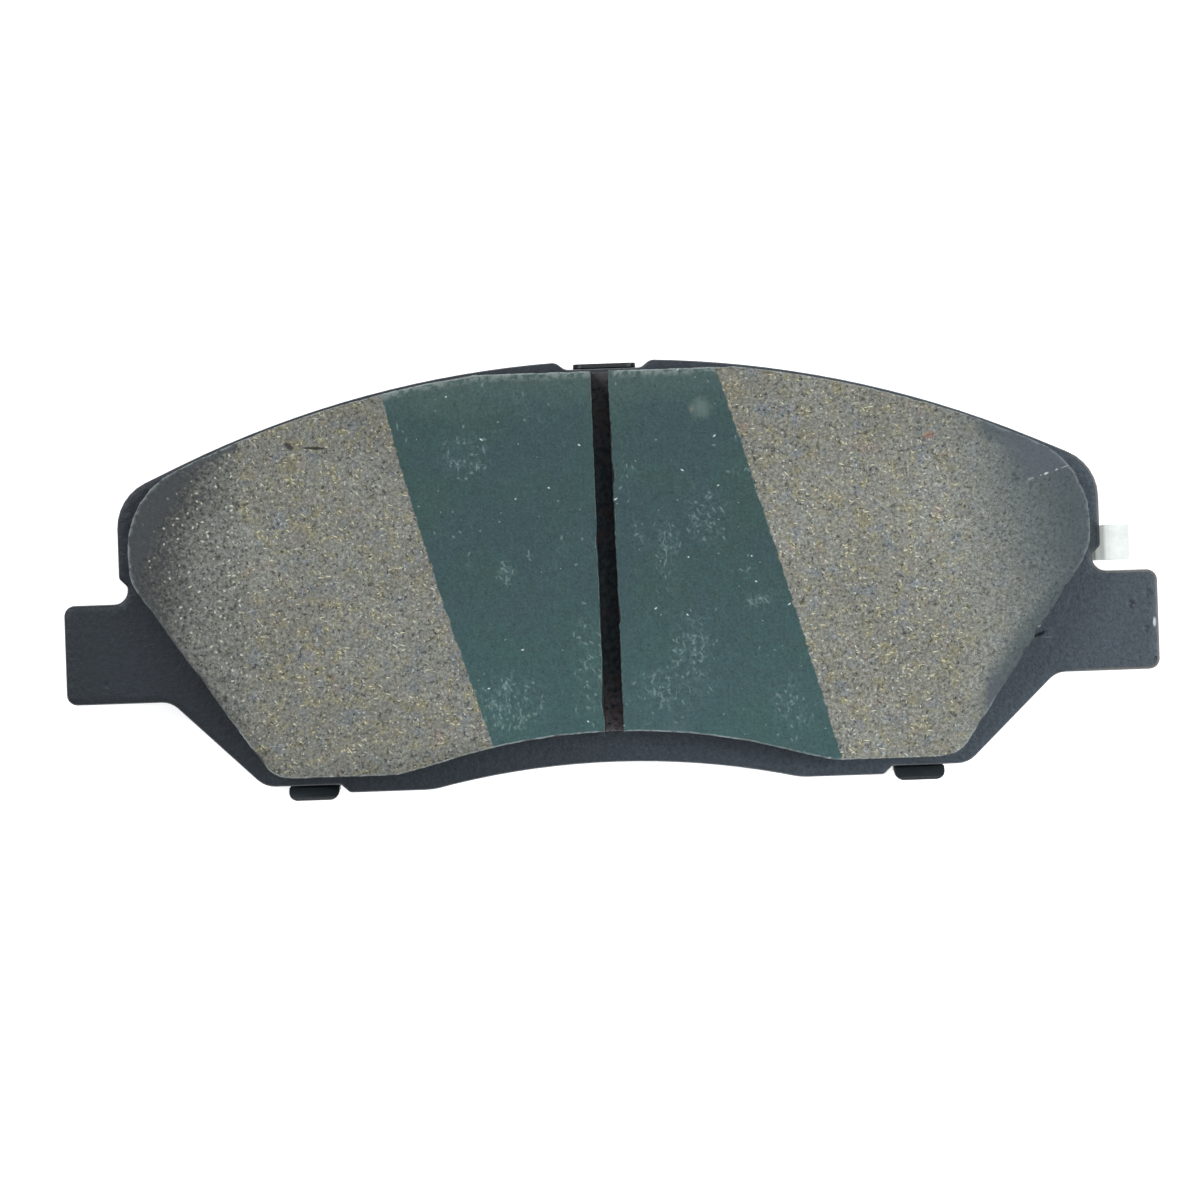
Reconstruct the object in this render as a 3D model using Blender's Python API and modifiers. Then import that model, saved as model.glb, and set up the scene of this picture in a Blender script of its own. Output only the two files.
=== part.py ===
"""Disc brake pad for a passenger car: a stamped steel backing plate with two ears,
two friction blocks on a moulded underlayer, a four-layer noise shim clipped to the
back, and a riveted spring-steel wear indicator.

The pad lies on the outer shim with its friction face up. +X runs along the ears,
+Y runs outwards from the wheel's centre, +Z points at the rotor. All outlines are
drawn about the middle of the ears; the empty "pad_frame" moves that point so that the
origin is below the middle of the whole pad.
"""

import math

import bmesh
import bpy

MM = 0.001

# ---- driving dimensions -------------------------------------------------------------

# Backing plate, seen from the friction side, about the middle of its ears.
PLATE_THICKNESS = 5.7 * MM
PLATE_HALF_WIDTH = 73.7 * MM
PLATE_TOP_RADIUS = 156.0 * MM
PLATE_TOP_Y = 41.0 * MM
PLATE_SHOULDER_START_X = 64.0 * MM
PLATE_SHOULDER_RADIUS = 7.5 * MM
NOTCH_HALF_WIDTH = 5.7 * MM
NOTCH_FLOOR_Y = 39.7 * MM
NOTCH_SLOPE_RUN = 1.4 * MM
NOTCH_CORNER_RADIUS = 1.4 * MM
NOTCH_EDGE_RADIUS = 1.6 * MM
EAR_END_X = 82.1 * MM
EAR_TOP_Y = 6.8 * MM
EAR_BOTTOM_Y = -8.2 * MM
EAR_CORNER_RADIUS = 1.6 * MM
RELIEF_TOP_Y = 10.6 * MM
RELIEF_DEPTH = 1.25 * MM
RELIEF_EDGE_RADIUS = 0.8 * MM
RELIEF_SLOPE_RADIUS = 0.6 * MM
RELIEF_ROOT_RADIUS = 2.1 * MM
LOWER_SLOPE_TOP_X = 66.5 * MM
LOWER_SLOPE_BOTTOM_X = 52.8 * MM
LOWER_SLOPE_TOP_RADIUS = 3.5 * MM
LOWER_SLOPE_BOTTOM_RADIUS = 4.0 * MM
CLIP_RECESS_Y = -21.4 * MM
CLIP_RECESS_INNER_X = 41.4 * MM
CLIP_RECESS_RADIUS = 0.5 * MM
PLATE_BOTTOM_Y = -22.65 * MM
STEP_INNER_X = 40.1 * MM
STEP_RADIUS = 1.0 * MM
PLATE_ARCH_RADIUS = 119.0 * MM
PLATE_ARCH_TOP_Y = -19.4 * MM
PLATE_ARCH_HALF_WIDTH = 27.6 * MM

# Holes in the plate that key the moulded material.
KEY_HOLE_RADIUS = 4.5 * MM
KEY_HOLE_PLACES = ((19.0 * MM, 20.0 * MM), (47.0 * MM, 7.0 * MM))
KEY_PLUG_DEPTH = 5.0 * MM

# Friction blocks and the underlayer beneath them.
FRICTION_THICKNESS = 7.6 * MM
UNDERLAYER_THICKNESS = 1.5 * MM
FRICTION_TOP_RADIUS = 155.2 * MM
FRICTION_TOP_Y = 40.25 * MM
FRICTION_TOP_FLAT_Y = 39.05 * MM
FRICTION_SHOULDER_START_X = 60.0 * MM
FRICTION_HALF_WIDTH = 71.8 * MM
FRICTION_SHOULDER_RADIUS = 13.0 * MM
FRICTION_SIDE_BOTTOM_Y = 10.2 * MM
FRICTION_HEEL_RADIUS = 7.0 * MM
FRICTION_SLOPE_BOTTOM_X = 50.8 * MM
FRICTION_BOTTOM_Y = -20.05 * MM
FRICTION_TOE_RADIUS = 5.0 * MM
FRICTION_FLAT_INNER_X = 32.3 * MM
FRICTION_ARCH_RADIUS = 92.0 * MM
FRICTION_ARCH_TOP_Y = -14.7 * MM
FRICTION_ARCH_HALF_WIDTH = 26.5 * MM
ARCH_BLEND_RADIUS = 10.0 * MM
SLOT_WIDTH = 2.7 * MM
SLOT_OFFSET_X = -0.2 * MM
SLOT_TILT = math.radians(0.4)
CHAMFER_START_X = 54.5 * MM
CHAMFER_ANGLE = math.radians(11.5)

# Noise shim: four layers, listed from the back of the pad to the plate.
OUTER_SHIM_THICKNESS = 0.6 * MM
DAMPING_THICKNESS = 0.3 * MM
INNER_SHIM_THICKNESS = 0.4 * MM
ADHESIVE_THICKNESS = 0.2 * MM
SHIM_HALF_WIDTH = 58.5 * MM
SHIM_TOP_RADIUS = 153.5 * MM
SHIM_TOP_Y = 38.5 * MM
SHIM_SIDE_BOTTOM_Y = -12.0 * MM
SHIM_SLOPE_BOTTOM_X = 50.0 * MM
SHIM_BOTTOM_Y = -20.3 * MM
SHIM_ARCH_RADIUS = 119.0 * MM
SHIM_ARCH_TOP_Y = -17.2 * MM
SHIM_ARCH_HALF_WIDTH = 26.5 * MM
SHIM_CORNER_RADIUS = 4.0 * MM
LAYER_INSET = 0.4 * MM

# Clip tabs bent up from the outer shim.
TOP_TAB_WIDTH = 9.4 * MM
TOP_TAB_X = 0.2 * MM
TOP_TAB_HEIGHT = 6.4 * MM
BOTTOM_TAB_WIDTH = 7.6 * MM
BOTTOM_TAB_X = 45.6 * MM
BOTTOM_TAB_BEND_Z = 3.6 * MM
BOTTOM_TAB_TIP_Z = 5.9 * MM
BOTTOM_TAB_TIP_Y = -23.45 * MM
TAB_CORNER_RADIUS = 1.4 * MM
TAB_BEND_RADIUS = 0.8 * MM

# Wear indicator and its rivet.
INDICATOR_THICKNESS = 0.8 * MM
INDICATOR_WIDTH = 5.3 * MM
INDICATOR_Y = 11.0 * MM
INDICATOR_INNER_END_X = 62.0 * MM
INDICATOR_END_RADIUS = 2.55 * MM
INDICATOR_LEG_X = 74.35 * MM
INDICATOR_FOOT_END_X = 77.8 * MM
INDICATOR_ABOVE_PLATE = 2.4 * MM
INDICATOR_LOWER_BEND = 1.2 * MM
INDICATOR_UPPER_BEND = 0.5 * MM
RIVET_X = 66.0 * MM
RIVET_SHANK_RADIUS = 1.6 * MM
RIVET_HEAD_RADIUS = 2.5 * MM
RIVET_HEAD_CROWN_RADIUS = 1.8 * MM
RIVET_HEAD_HEIGHT = 0.9 * MM
RIVET_HEAD_RIM_HEIGHT = 0.45 * MM
RIVET_FLARE_HEIGHT = 1.3 * MM

# Clearances between neighbouring solids.
BOND_GAP = 0.2 * MM
CLIP_GAP = 0.3 * MM

# ---- levels, from the back of the pad upwards ---------------------------------------

OUTER_SHIM_TOP = OUTER_SHIM_THICKNESS
DAMPING_BASE = OUTER_SHIM_TOP + BOND_GAP
INNER_SHIM_BASE = DAMPING_BASE + DAMPING_THICKNESS + BOND_GAP
ADHESIVE_BASE = INNER_SHIM_BASE + INNER_SHIM_THICKNESS + BOND_GAP
PLATE_BACK = ADHESIVE_BASE + ADHESIVE_THICKNESS + BOND_GAP
PLATE_FRONT = PLATE_BACK + PLATE_THICKNESS
UNDERLAYER_BASE = PLATE_FRONT + BOND_GAP
FRICTION_BASE = UNDERLAYER_BASE + UNDERLAYER_THICKNESS + BOND_GAP
FRICTION_FACE = FRICTION_BASE + FRICTION_THICKNESS

# The whole pad reaches from the tips of the shim's lower tabs to the edge of the notch
# at the top of the plate.
TAB_TIP_OVERHANG = 0.24 * MM
NOTCH_EDGE_X = NOTCH_HALF_WIDTH + NOTCH_SLOPE_RUN
NOTCH_EDGE_Y = PLATE_TOP_Y - PLATE_TOP_RADIUS + math.sqrt(PLATE_TOP_RADIUS**2
                                                          - NOTCH_EDGE_X**2)
PAD_CENTRE_Y = (NOTCH_EDGE_Y + BOTTOM_TAB_TIP_Y - TAB_TIP_OVERHANG) / 2

# Drawing aids: how finely arcs are drawn, and by how much tools overrun what they trim.
ARC_STEP = math.radians(12)
OUTER_ARC_STEPS = 16
INNER_ARC_STEPS = 9
TURNING_STEPS = 32
WELD_DISTANCE = 0.01 * MM
TRIM = 1.0 * MM
OVERRUN = 2.0 * MM
BIG = 60.0 * MM


# ---- outlines -----------------------------------------------------------------------

def rounded(corners, closed=True):
    """Turns (x, y, radius) corners into points, each corner as an arc of its radius."""
    points = []
    count = len(corners)
    for index, (x, y, radius) in enumerate(corners):
        is_end = not closed and index in (0, count - 1)
        if radius == 0 or is_end:
            points.append((x, y))
            continue
        x0, y0, _ = corners[index - 1]
        x1, y1, _ = corners[(index + 1) % count]
        angle_in = math.atan2(y - y0, x - x0)
        angle_out = math.atan2(y1 - y, x1 - x)
        turn = math.remainder(angle_out - angle_in, math.tau)
        tangent = radius * abs(math.tan(turn / 2))
        start_x = x - tangent * math.cos(angle_in)
        start_y = y - tangent * math.sin(angle_in)
        side = math.copysign(radius, turn)
        centre_x = start_x - side * math.sin(angle_in)
        centre_y = start_y + side * math.cos(angle_in)
        steps = max(2, math.ceil(abs(turn) / ARC_STEP))
        for step in range(steps + 1):
            angle = angle_in + turn * step / steps
            points.append((centre_x + side * math.sin(angle),
                           centre_y - side * math.cos(angle)))
    return points


def arch(top_y, radius, start_x, end_x, steps, first_radius=0):
    """Corners on a wide arc whose highest point is (0, top_y), from start_x to end_x. The
    first one is turned with first_radius."""
    corners = []
    for step in range(steps + 1):
        x = start_x + (end_x - start_x) * step / steps
        drop = radius - math.sqrt(radius * radius - x * x)
        corners.append((x, top_y - drop, first_radius if step == 0 else 0))
    return corners


def shoulder_corner(top_y, radius, start_x, side_x, corner_radius):
    """Where the tangent of the top arc at start_x meets the side at side_x."""
    run = math.sqrt(radius * radius - start_x * start_x)
    start_y = top_y - radius + run
    y = start_y - (side_x - start_x) * start_x / run
    return (side_x, y, corner_radius)


def plate_corners():
    """The right half of the backing plate, clockwise from its top notch."""
    relief_x = PLATE_HALF_WIDTH - RELIEF_DEPTH
    half = [(NOTCH_HALF_WIDTH, NOTCH_FLOOR_Y, NOTCH_CORNER_RADIUS)]
    half += arch(PLATE_TOP_Y, PLATE_TOP_RADIUS, NOTCH_EDGE_X, PLATE_SHOULDER_START_X,
                 OUTER_ARC_STEPS, NOTCH_EDGE_RADIUS)
    half += [
        shoulder_corner(PLATE_TOP_Y, PLATE_TOP_RADIUS, PLATE_SHOULDER_START_X,
                        PLATE_HALF_WIDTH, PLATE_SHOULDER_RADIUS),
        (PLATE_HALF_WIDTH, RELIEF_TOP_Y, RELIEF_EDGE_RADIUS),
        (relief_x, RELIEF_TOP_Y - RELIEF_DEPTH, RELIEF_SLOPE_RADIUS),
        (relief_x, EAR_TOP_Y, RELIEF_ROOT_RADIUS),
        (EAR_END_X, EAR_TOP_Y, EAR_CORNER_RADIUS),
        (EAR_END_X, EAR_BOTTOM_Y, EAR_CORNER_RADIUS),
        (LOWER_SLOPE_TOP_X, EAR_BOTTOM_Y, LOWER_SLOPE_TOP_RADIUS),
        (LOWER_SLOPE_BOTTOM_X, CLIP_RECESS_Y, LOWER_SLOPE_BOTTOM_RADIUS),
        (CLIP_RECESS_INNER_X, CLIP_RECESS_Y, CLIP_RECESS_RADIUS),
        (STEP_INNER_X, PLATE_BOTTOM_Y, STEP_RADIUS),
    ]
    half += arch(PLATE_ARCH_TOP_Y, PLATE_ARCH_RADIUS, PLATE_ARCH_HALF_WIDTH, 0,
                 INNER_ARC_STEPS, ARCH_BLEND_RADIUS)
    return half[:-1], half[-1]


def friction_corners():
    """The right half of the friction area, clockwise from the end of the flat that cuts
    off the crown of its top arc."""
    centre_y = FRICTION_TOP_Y - FRICTION_TOP_RADIUS
    flat_end_x = math.sqrt(FRICTION_TOP_RADIUS**2 - (FRICTION_TOP_FLAT_Y - centre_y)**2)
    half = arch(FRICTION_TOP_Y, FRICTION_TOP_RADIUS, flat_end_x,
                FRICTION_SHOULDER_START_X, OUTER_ARC_STEPS)
    half += [
        shoulder_corner(FRICTION_TOP_Y, FRICTION_TOP_RADIUS, FRICTION_SHOULDER_START_X,
                        FRICTION_HALF_WIDTH, FRICTION_SHOULDER_RADIUS),
        (FRICTION_HALF_WIDTH, FRICTION_SIDE_BOTTOM_Y, FRICTION_HEEL_RADIUS),
        (FRICTION_SLOPE_BOTTOM_X, FRICTION_BOTTOM_Y, FRICTION_TOE_RADIUS),
        (FRICTION_FLAT_INNER_X, FRICTION_BOTTOM_Y, ARCH_BLEND_RADIUS),
    ]
    half += arch(FRICTION_ARCH_TOP_Y, FRICTION_ARCH_RADIUS, FRICTION_ARCH_HALF_WIDTH, 0,
                 INNER_ARC_STEPS)
    return half[:-1], half[-1]


def shim_corners(inset):
    """The right half of a shim layer, drawn in by inset on every side."""
    top_y = SHIM_TOP_Y - inset
    side_x = SHIM_HALF_WIDTH - inset
    bottom_y = SHIM_BOTTOM_Y + inset
    half = arch(top_y, SHIM_TOP_RADIUS - inset, 0, side_x, OUTER_ARC_STEPS)
    half[-1] = half[-1][:2] + (SHIM_CORNER_RADIUS / 2,)
    half += [
        (side_x, SHIM_SIDE_BOTTOM_Y + inset / 2, SHIM_CORNER_RADIUS),
        (SHIM_SLOPE_BOTTOM_X - inset / 2, bottom_y, SHIM_CORNER_RADIUS),
    ]
    half += arch(SHIM_ARCH_TOP_Y + inset, SHIM_ARCH_RADIUS + inset,
                 SHIM_ARCH_HALF_WIDTH, 0, INNER_ARC_STEPS, ARCH_BLEND_RADIUS)
    return half[:-1], half[-1]


def whole(half, middle):
    """A closed outline from its right half and the point where it crosses the middle."""
    left = [(-x, y, radius) for x, y, radius in reversed(half) if x > 0]
    return rounded(half + [middle] + left)


def strip_outline(corners, thickness):
    """The section of a bent strip: its centre line, moved half a thickness each way."""
    line = rounded(corners, closed=False)
    upper = []
    lower = []
    for index, (x, y) in enumerate(line):
        before = line[max(index - 1, 0)]
        after = line[min(index + 1, len(line) - 1)]
        angle = math.atan2(after[1] - before[1], after[0] - before[0])
        shift_x = -math.sin(angle) * thickness / 2
        shift_y = math.cos(angle) * thickness / 2
        upper.append((x + shift_x, y + shift_y))
        lower.append((x - shift_x, y - shift_y))
    return upper + lower[::-1]


# ---- building blocks ----------------------------------------------------------------

def clear_scene():
    for old in list(bpy.data.objects):
        bpy.data.objects.remove(old, do_unlink=True)
    for old in list(bpy.data.collections):
        bpy.data.collections.remove(old)


def new_collection(name):
    collection = bpy.data.collections.new(name)
    bpy.context.scene.collection.children.link(collection)
    return collection


def material(name, colour, roughness, metallic=0.0):
    made = bpy.data.materials.new(name)
    made.use_nodes = True
    shader = made.node_tree.nodes["Principled BSDF"]
    shader.inputs["Base Color"].default_value = (*colour, 1.0)
    shader.inputs["Roughness"].default_value = roughness
    shader.inputs["Metallic"].default_value = metallic
    made.diffuse_color = (*colour, 1.0)
    return made


def extruded(name, points, thickness, collection, location=(0, 0, 0), rotation=(0, 0, 0)):
    """A flat outline, thickness deep, as a welded mesh. Its base is at the location when
    it lies flat; a turned one is centred on the location across its thickness."""
    curve = bpy.data.curves.new(name, "CURVE")
    curve.dimensions = "2D"
    curve.fill_mode = "BOTH"
    curve.extrude = thickness / 2
    spline = curve.splines.new("POLY")
    spline.points.add(len(points) - 1)
    for point, (x, y) in zip(spline.points, points):
        point.co = (x, y, 0, 1)
    spline.use_cyclic_u = True
    outline = bpy.data.objects.new(name + "_outline", curve)
    collection.objects.link(outline)
    lies_flat = tuple(rotation) == (0, 0, 0)
    lift = thickness / 2 if lies_flat else 0
    outline.location = (location[0], location[1], location[2] + lift)
    outline.rotation_euler = rotation
    bpy.context.view_layer.update()
    evaluated = outline.evaluated_get(bpy.context.evaluated_depsgraph_get())
    mesh = bpy.data.meshes.new_from_object(evaluated)
    work = bmesh.new()
    work.from_mesh(mesh)
    bmesh.ops.remove_doubles(work, verts=work.verts, dist=WELD_DISTANCE)
    for above in (False, True):
        cap = [face for face in work.faces
               if all((vert.co.z > 0) == above for vert in face.verts)]
        bmesh.ops.dissolve_faces(work, faces=cap)
    bmesh.ops.recalc_face_normals(work, faces=work.faces)
    work.to_mesh(mesh)
    work.free()
    mesh.name = name
    solid = bpy.data.objects.new(name, mesh)
    solid.matrix_world = outline.matrix_world
    collection.objects.link(solid)
    bpy.data.objects.remove(outline, do_unlink=True)
    return solid


def turned(name, profile, collection, location):
    """A turned solid from a profile of (radius, z) points, listed from top to bottom."""
    work = bmesh.new()
    verts = [work.verts.new((radius, 0, z)) for radius, z in profile]
    for first, second in zip(verts, verts[1:]):
        work.edges.new((first, second))
    mesh = bpy.data.meshes.new(name)
    work.to_mesh(mesh)
    work.free()
    solid = bpy.data.objects.new(name, mesh)
    solid.location = location
    collection.objects.link(solid)
    screw = solid.modifiers.new("turn", "SCREW")
    screw.steps = TURNING_STEPS
    screw.render_steps = TURNING_STEPS
    screw.use_merge_vertices = True
    screw.merge_threshold = WELD_DISTANCE
    return solid


def block(name, size, collection, location, rotation=(0, 0, 0)):
    """A box with its size in its mesh, so that its scale stays 1."""
    mesh = bpy.data.meshes.new(name)
    work = bmesh.new()
    bmesh.ops.create_cube(work, size=1.0)
    bmesh.ops.scale(work, vec=size, verts=work.verts)
    work.to_mesh(mesh)
    work.free()
    solid = bpy.data.objects.new(name, mesh)
    solid.location = location
    solid.rotation_euler = rotation
    collection.objects.link(solid)
    return solid


def combine(solid, other, operation):
    step = solid.modifiers.new(other.name, "BOOLEAN")
    step.operation = operation
    step.solver = "EXACT"
    step.object = other
    other.hide_render = True
    other.display_type = "WIRE"


def coat(solid, made):
    solid.data.materials.clear()
    solid.data.materials.append(made)


# ---- the parts ----------------------------------------------------------------------

def rivet_profile(clearance):
    """The rivet from its flared front end to its back head, grown by clearance."""
    front = PLATE_FRONT - BOND_GAP
    strip_back = PLATE_BACK - BOND_GAP - INDICATOR_THICKNESS
    head_front = strip_back - BOND_GAP
    flare_base = front - RIVET_FLARE_HEIGHT
    head_edge = head_front - RIVET_HEAD_RIM_HEIGHT
    head_back = head_front - RIVET_HEAD_HEIGHT
    shank = RIVET_SHANK_RADIUS + clearance
    flare = RIVET_HEAD_RADIUS + clearance
    if clearance:
        above = PLATE_FRONT + OVERRUN
        return [(0, above), (flare, above), (flare, front), (shank, flare_base),
                (shank, head_front), (0, head_front)]
    return [(0, front), (flare, front), (shank, flare_base), (shank, head_front),
            (RIVET_HEAD_RADIUS, head_front), (RIVET_HEAD_RADIUS, head_edge),
            (RIVET_HEAD_CROWN_RADIUS, head_back), (0, head_back)]


def key_places():
    for x, y in KEY_HOLE_PLACES:
        yield x, y
        yield -x, y


def backing_plate(parts, cutters):
    plate = extruded("backing_plate", whole(*plate_corners()), PLATE_THICKNESS, parts,
                     (0, 0, PLATE_BACK))
    top = PLATE_FRONT + OVERRUN
    bottom = PLATE_BACK - OVERRUN
    for number, (x, y) in enumerate(key_places()):
        profile = [(0, top), (KEY_HOLE_RADIUS, top), (KEY_HOLE_RADIUS, bottom), (0, bottom)]
        hole = turned(f"key_hole_{number}", profile, cutters, (x, y, 0))
        combine(plate, hole, "DIFFERENCE")
    rivet_hole = turned("rivet_hole", rivet_profile(BOND_GAP), cutters,
                        (RIVET_X, INDICATOR_Y, 0))
    combine(plate, rivet_hole, "DIFFERENCE")
    return plate


def underlayer(parts, cutters):
    layer = extruded("underlayer", whole(*friction_corners()), UNDERLAYER_THICKNESS, parts,
                     (0, 0, UNDERLAYER_BASE))
    radius = KEY_HOLE_RADIUS - CLIP_GAP
    top = UNDERLAYER_BASE + UNDERLAYER_THICKNESS / 2
    bottom = PLATE_FRONT - KEY_PLUG_DEPTH
    for number, (x, y) in enumerate(key_places()):
        profile = [(0, top), (radius, top), (radius, bottom), (0, bottom)]
        plug = turned(f"key_plug_{number}", profile, cutters, (x, y, 0))
        combine(layer, plug, "UNION")
    return layer


def friction_block(side, parts, cutters):
    """One block; side is -1 for the left and +1 for the right."""
    name = "friction_block_right" if side > 0 else "friction_block_left"
    pad = extruded(name, whole(*friction_corners()), FRICTION_THICKNESS, parts,
                   (0, 0, FRICTION_BASE))
    middle_y = (FRICTION_TOP_FLAT_Y + FRICTION_BOTTOM_Y) / 2
    middle_z = FRICTION_BASE + FRICTION_THICKNESS / 2
    wide = 2 * BIG
    wall_x = SLOT_OFFSET_X + side * (SLOT_WIDTH / 2 - wide / 2)
    other_half = block(name + "_other_half", (wide, 2 * BIG, BIG), cutters,
                       (wall_x, middle_y, middle_z), (0, 0, SLOT_TILT))
    combine(pad, other_half, "DIFFERENCE")
    angle = side * CHAMFER_ANGLE
    chamfer_x = side * CHAMFER_START_X + BIG / 2 * math.sin(angle)
    chamfer_z = FRICTION_FACE + BIG / 2 * math.cos(angle)
    wedge = block(name + "_chamfer", (wide, 2 * BIG, BIG), cutters,
                  (chamfer_x, middle_y, chamfer_z), (0, angle, 0))
    combine(pad, wedge, "DIFFERENCE")
    return pad


def shim_layer(name, thickness, base, inset, parts):
    return extruded(name, whole(*shim_corners(inset)), thickness, parts, (0, 0, base))


def tab(name, path, width, direction, cutters, place):
    """A strip for a tab bent up from the shim, a little wider than the window that trims
    it. The path runs outwards and up; direction is +1 at the top and -1 at the bottom."""
    turn = (math.radians(90), 0, direction * math.radians(90))
    return extruded(name, strip_outline(path, OUTER_SHIM_THICKNESS), width + 2 * TRIM,
                    cutters, place, turn)


def outer_shim(parts, cutters):
    shim = shim_layer("outer_shim", OUTER_SHIM_THICKNESS, 0, 0, parts)
    middle = OUTER_SHIM_THICKNESS / 2
    top_wall = NOTCH_FLOOR_Y + BOND_GAP + middle
    top_path = [(SHIM_TOP_Y - OVERRUN, middle, 0), (top_wall, middle, TAB_BEND_RADIUS),
                (top_wall, TOP_TAB_HEIGHT, 0)]
    top_tab = tab("top_tab", top_path, TOP_TAB_WIDTH, 1, cutters,
                  (TOP_TAB_X, 0, 0))
    half = TOP_TAB_WIDTH / 2
    window = rounded([(-half, -OVERRUN, 0), (half, -OVERRUN, 0),
                      (half, TOP_TAB_HEIGHT, TAB_CORNER_RADIUS),
                      (-half, TOP_TAB_HEIGHT, TAB_CORNER_RADIUS)])
    top_window = extruded("top_tab_window", window, BIG, cutters,
                          (TOP_TAB_X, BIG, 0), (math.radians(90), 0, 0))
    combine(top_tab, top_window, "INTERSECT")
    combine(shim, top_tab, "UNION")
    bottom_wall = -CLIP_RECESS_Y + CLIP_GAP + middle
    bottom_path = [(-SHIM_BOTTOM_Y - OVERRUN, middle, 0),
                   (bottom_wall, middle, TAB_BEND_RADIUS),
                   (bottom_wall, BOTTOM_TAB_BEND_Z, TAB_BEND_RADIUS),
                   (-BOTTOM_TAB_TIP_Y, BOTTOM_TAB_TIP_Z, 0)]
    half = BOTTOM_TAB_WIDTH / 2
    far = BOTTOM_TAB_TIP_Y - TAB_TIP_OVERHANG
    window = rounded([(-half, 0, 0), (-half, far, TAB_CORNER_RADIUS),
                      (half, far, TAB_CORNER_RADIUS), (half, 0, 0)])
    for side, label in ((-1, "left"), (1, "right")):
        place = (side * BOTTOM_TAB_X, 0, 0)
        low_tab = tab(f"{label}_tab", bottom_path, BOTTOM_TAB_WIDTH, -1, cutters, place)
        low_window = extruded(f"{label}_tab_window", window, BIG, cutters,
                              (place[0], 0, -BIG / 2))
        combine(low_tab, low_window, "INTERSECT")
        combine(shim, low_tab, "UNION")
    return shim


def wear_indicator(parts, cutters):
    """A strip on the plate's back that passes its edge, rises and ends in a flat foot."""
    base_z = PLATE_BACK - BOND_GAP - INDICATOR_THICKNESS / 2
    foot_z = PLATE_FRONT + INDICATOR_ABOVE_PLATE - INDICATOR_THICKNESS / 2
    path = [(INDICATOR_INNER_END_X, base_z, 0),
            (INDICATOR_LEG_X, base_z, INDICATOR_LOWER_BEND),
            (INDICATOR_LEG_X, foot_z, INDICATOR_UPPER_BEND),
            (INDICATOR_FOOT_END_X, foot_z, 0)]
    strip = extruded("wear_indicator", strip_outline(path, INDICATOR_THICKNESS),
                     INDICATOR_WIDTH + 2 * TRIM, parts, (0, INDICATOR_Y, 0),
                     (math.radians(90), 0, 0))
    low = INDICATOR_Y - INDICATOR_WIDTH / 2
    high = INDICATOR_Y + INDICATOR_WIDTH / 2
    window = rounded([(INDICATOR_INNER_END_X, low, INDICATOR_END_RADIUS),
                      (EAR_END_X, low, 0), (EAR_END_X, high, 0),
                      (INDICATOR_INNER_END_X, high, INDICATOR_END_RADIUS)])
    end_window = extruded("indicator_window", window, BIG, cutters, (0, 0, -BIG / 2))
    combine(strip, end_window, "INTERSECT")
    radius = RIVET_SHANK_RADIUS + BOND_GAP
    profile = [(0, PLATE_BACK), (radius, PLATE_BACK), (radius, -OVERRUN), (0, -OVERRUN)]
    hole = turned("indicator_hole", profile, cutters, (RIVET_X, INDICATOR_Y, 0))
    combine(strip, hole, "DIFFERENCE")
    return strip


def wear_indicator_rivet(parts):
    rivet = turned("wear_indicator_rivet", rivet_profile(0), parts,
                   (RIVET_X, INDICATOR_Y, 0))
    rivet.modifiers["turn"].use_smooth_shade = True
    return rivet


def build():
    clear_scene()
    parts = new_collection("brake_pad")
    cutters = new_collection("cutters")
    frame = bpy.data.objects.new("pad_frame", None)
    frame.location = (0, -PAD_CENTRE_Y, 0)
    parts.objects.link(frame)

    coated_steel = material("coated_steel", (0.045, 0.052, 0.060), 0.45)
    friction = material("friction_compound", (0.200, 0.190, 0.160), 0.85)
    bonding = material("underlayer_compound", (0.030, 0.027, 0.026), 0.90)
    rubber = material("shim_rubber", (0.020, 0.020, 0.020), 0.60)
    shim_steel = material("shim_steel", (0.420, 0.430, 0.440), 0.35, 1.0)
    adhesive = material("shim_adhesive", (0.420, 0.360, 0.240), 0.50)
    zinc = material("zinc_plated_steel", (0.720, 0.740, 0.730), 0.30, 1.0)
    rivet_steel = material("rivet_steel", (0.550, 0.560, 0.570), 0.35, 1.0)

    coat(backing_plate(parts, cutters), coated_steel)
    coat(underlayer(parts, cutters), bonding)
    coat(friction_block(-1, parts, cutters), friction)
    coat(friction_block(1, parts, cutters), friction.copy())
    coat(shim_layer("adhesive_layer", ADHESIVE_THICKNESS, ADHESIVE_BASE,
                    2 * LAYER_INSET, parts), adhesive)
    coat(shim_layer("inner_shim", INNER_SHIM_THICKNESS, INNER_SHIM_BASE,
                    LAYER_INSET, parts), shim_steel)
    coat(shim_layer("damping_layer", DAMPING_THICKNESS, DAMPING_BASE,
                    LAYER_INSET, parts), rubber)
    coat(outer_shim(parts, cutters), shim_steel.copy())
    coat(wear_indicator(parts, cutters), zinc)
    coat(wear_indicator_rivet(parts), rivet_steel)

    for solid in list(parts.objects) + list(cutters.objects):
        if solid != frame:
            solid.parent = frame


build()
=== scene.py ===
"""Looks of the disc brake pad: fine meshes over the CAD frame, procedural materials, a
plain studio and the camera.

All sizes and places below are in millimetres in the frame of the CAD model: +X along
the ears, +Y radially outwards, +Z out of the friction face.
"""

import math
from functools import reduce

import bmesh
import bpy
import numpy as np
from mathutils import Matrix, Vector, noise
from mathutils.bvhtree import BVHTree
from mathutils.geometry import delaunay_2d_cdt


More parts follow.
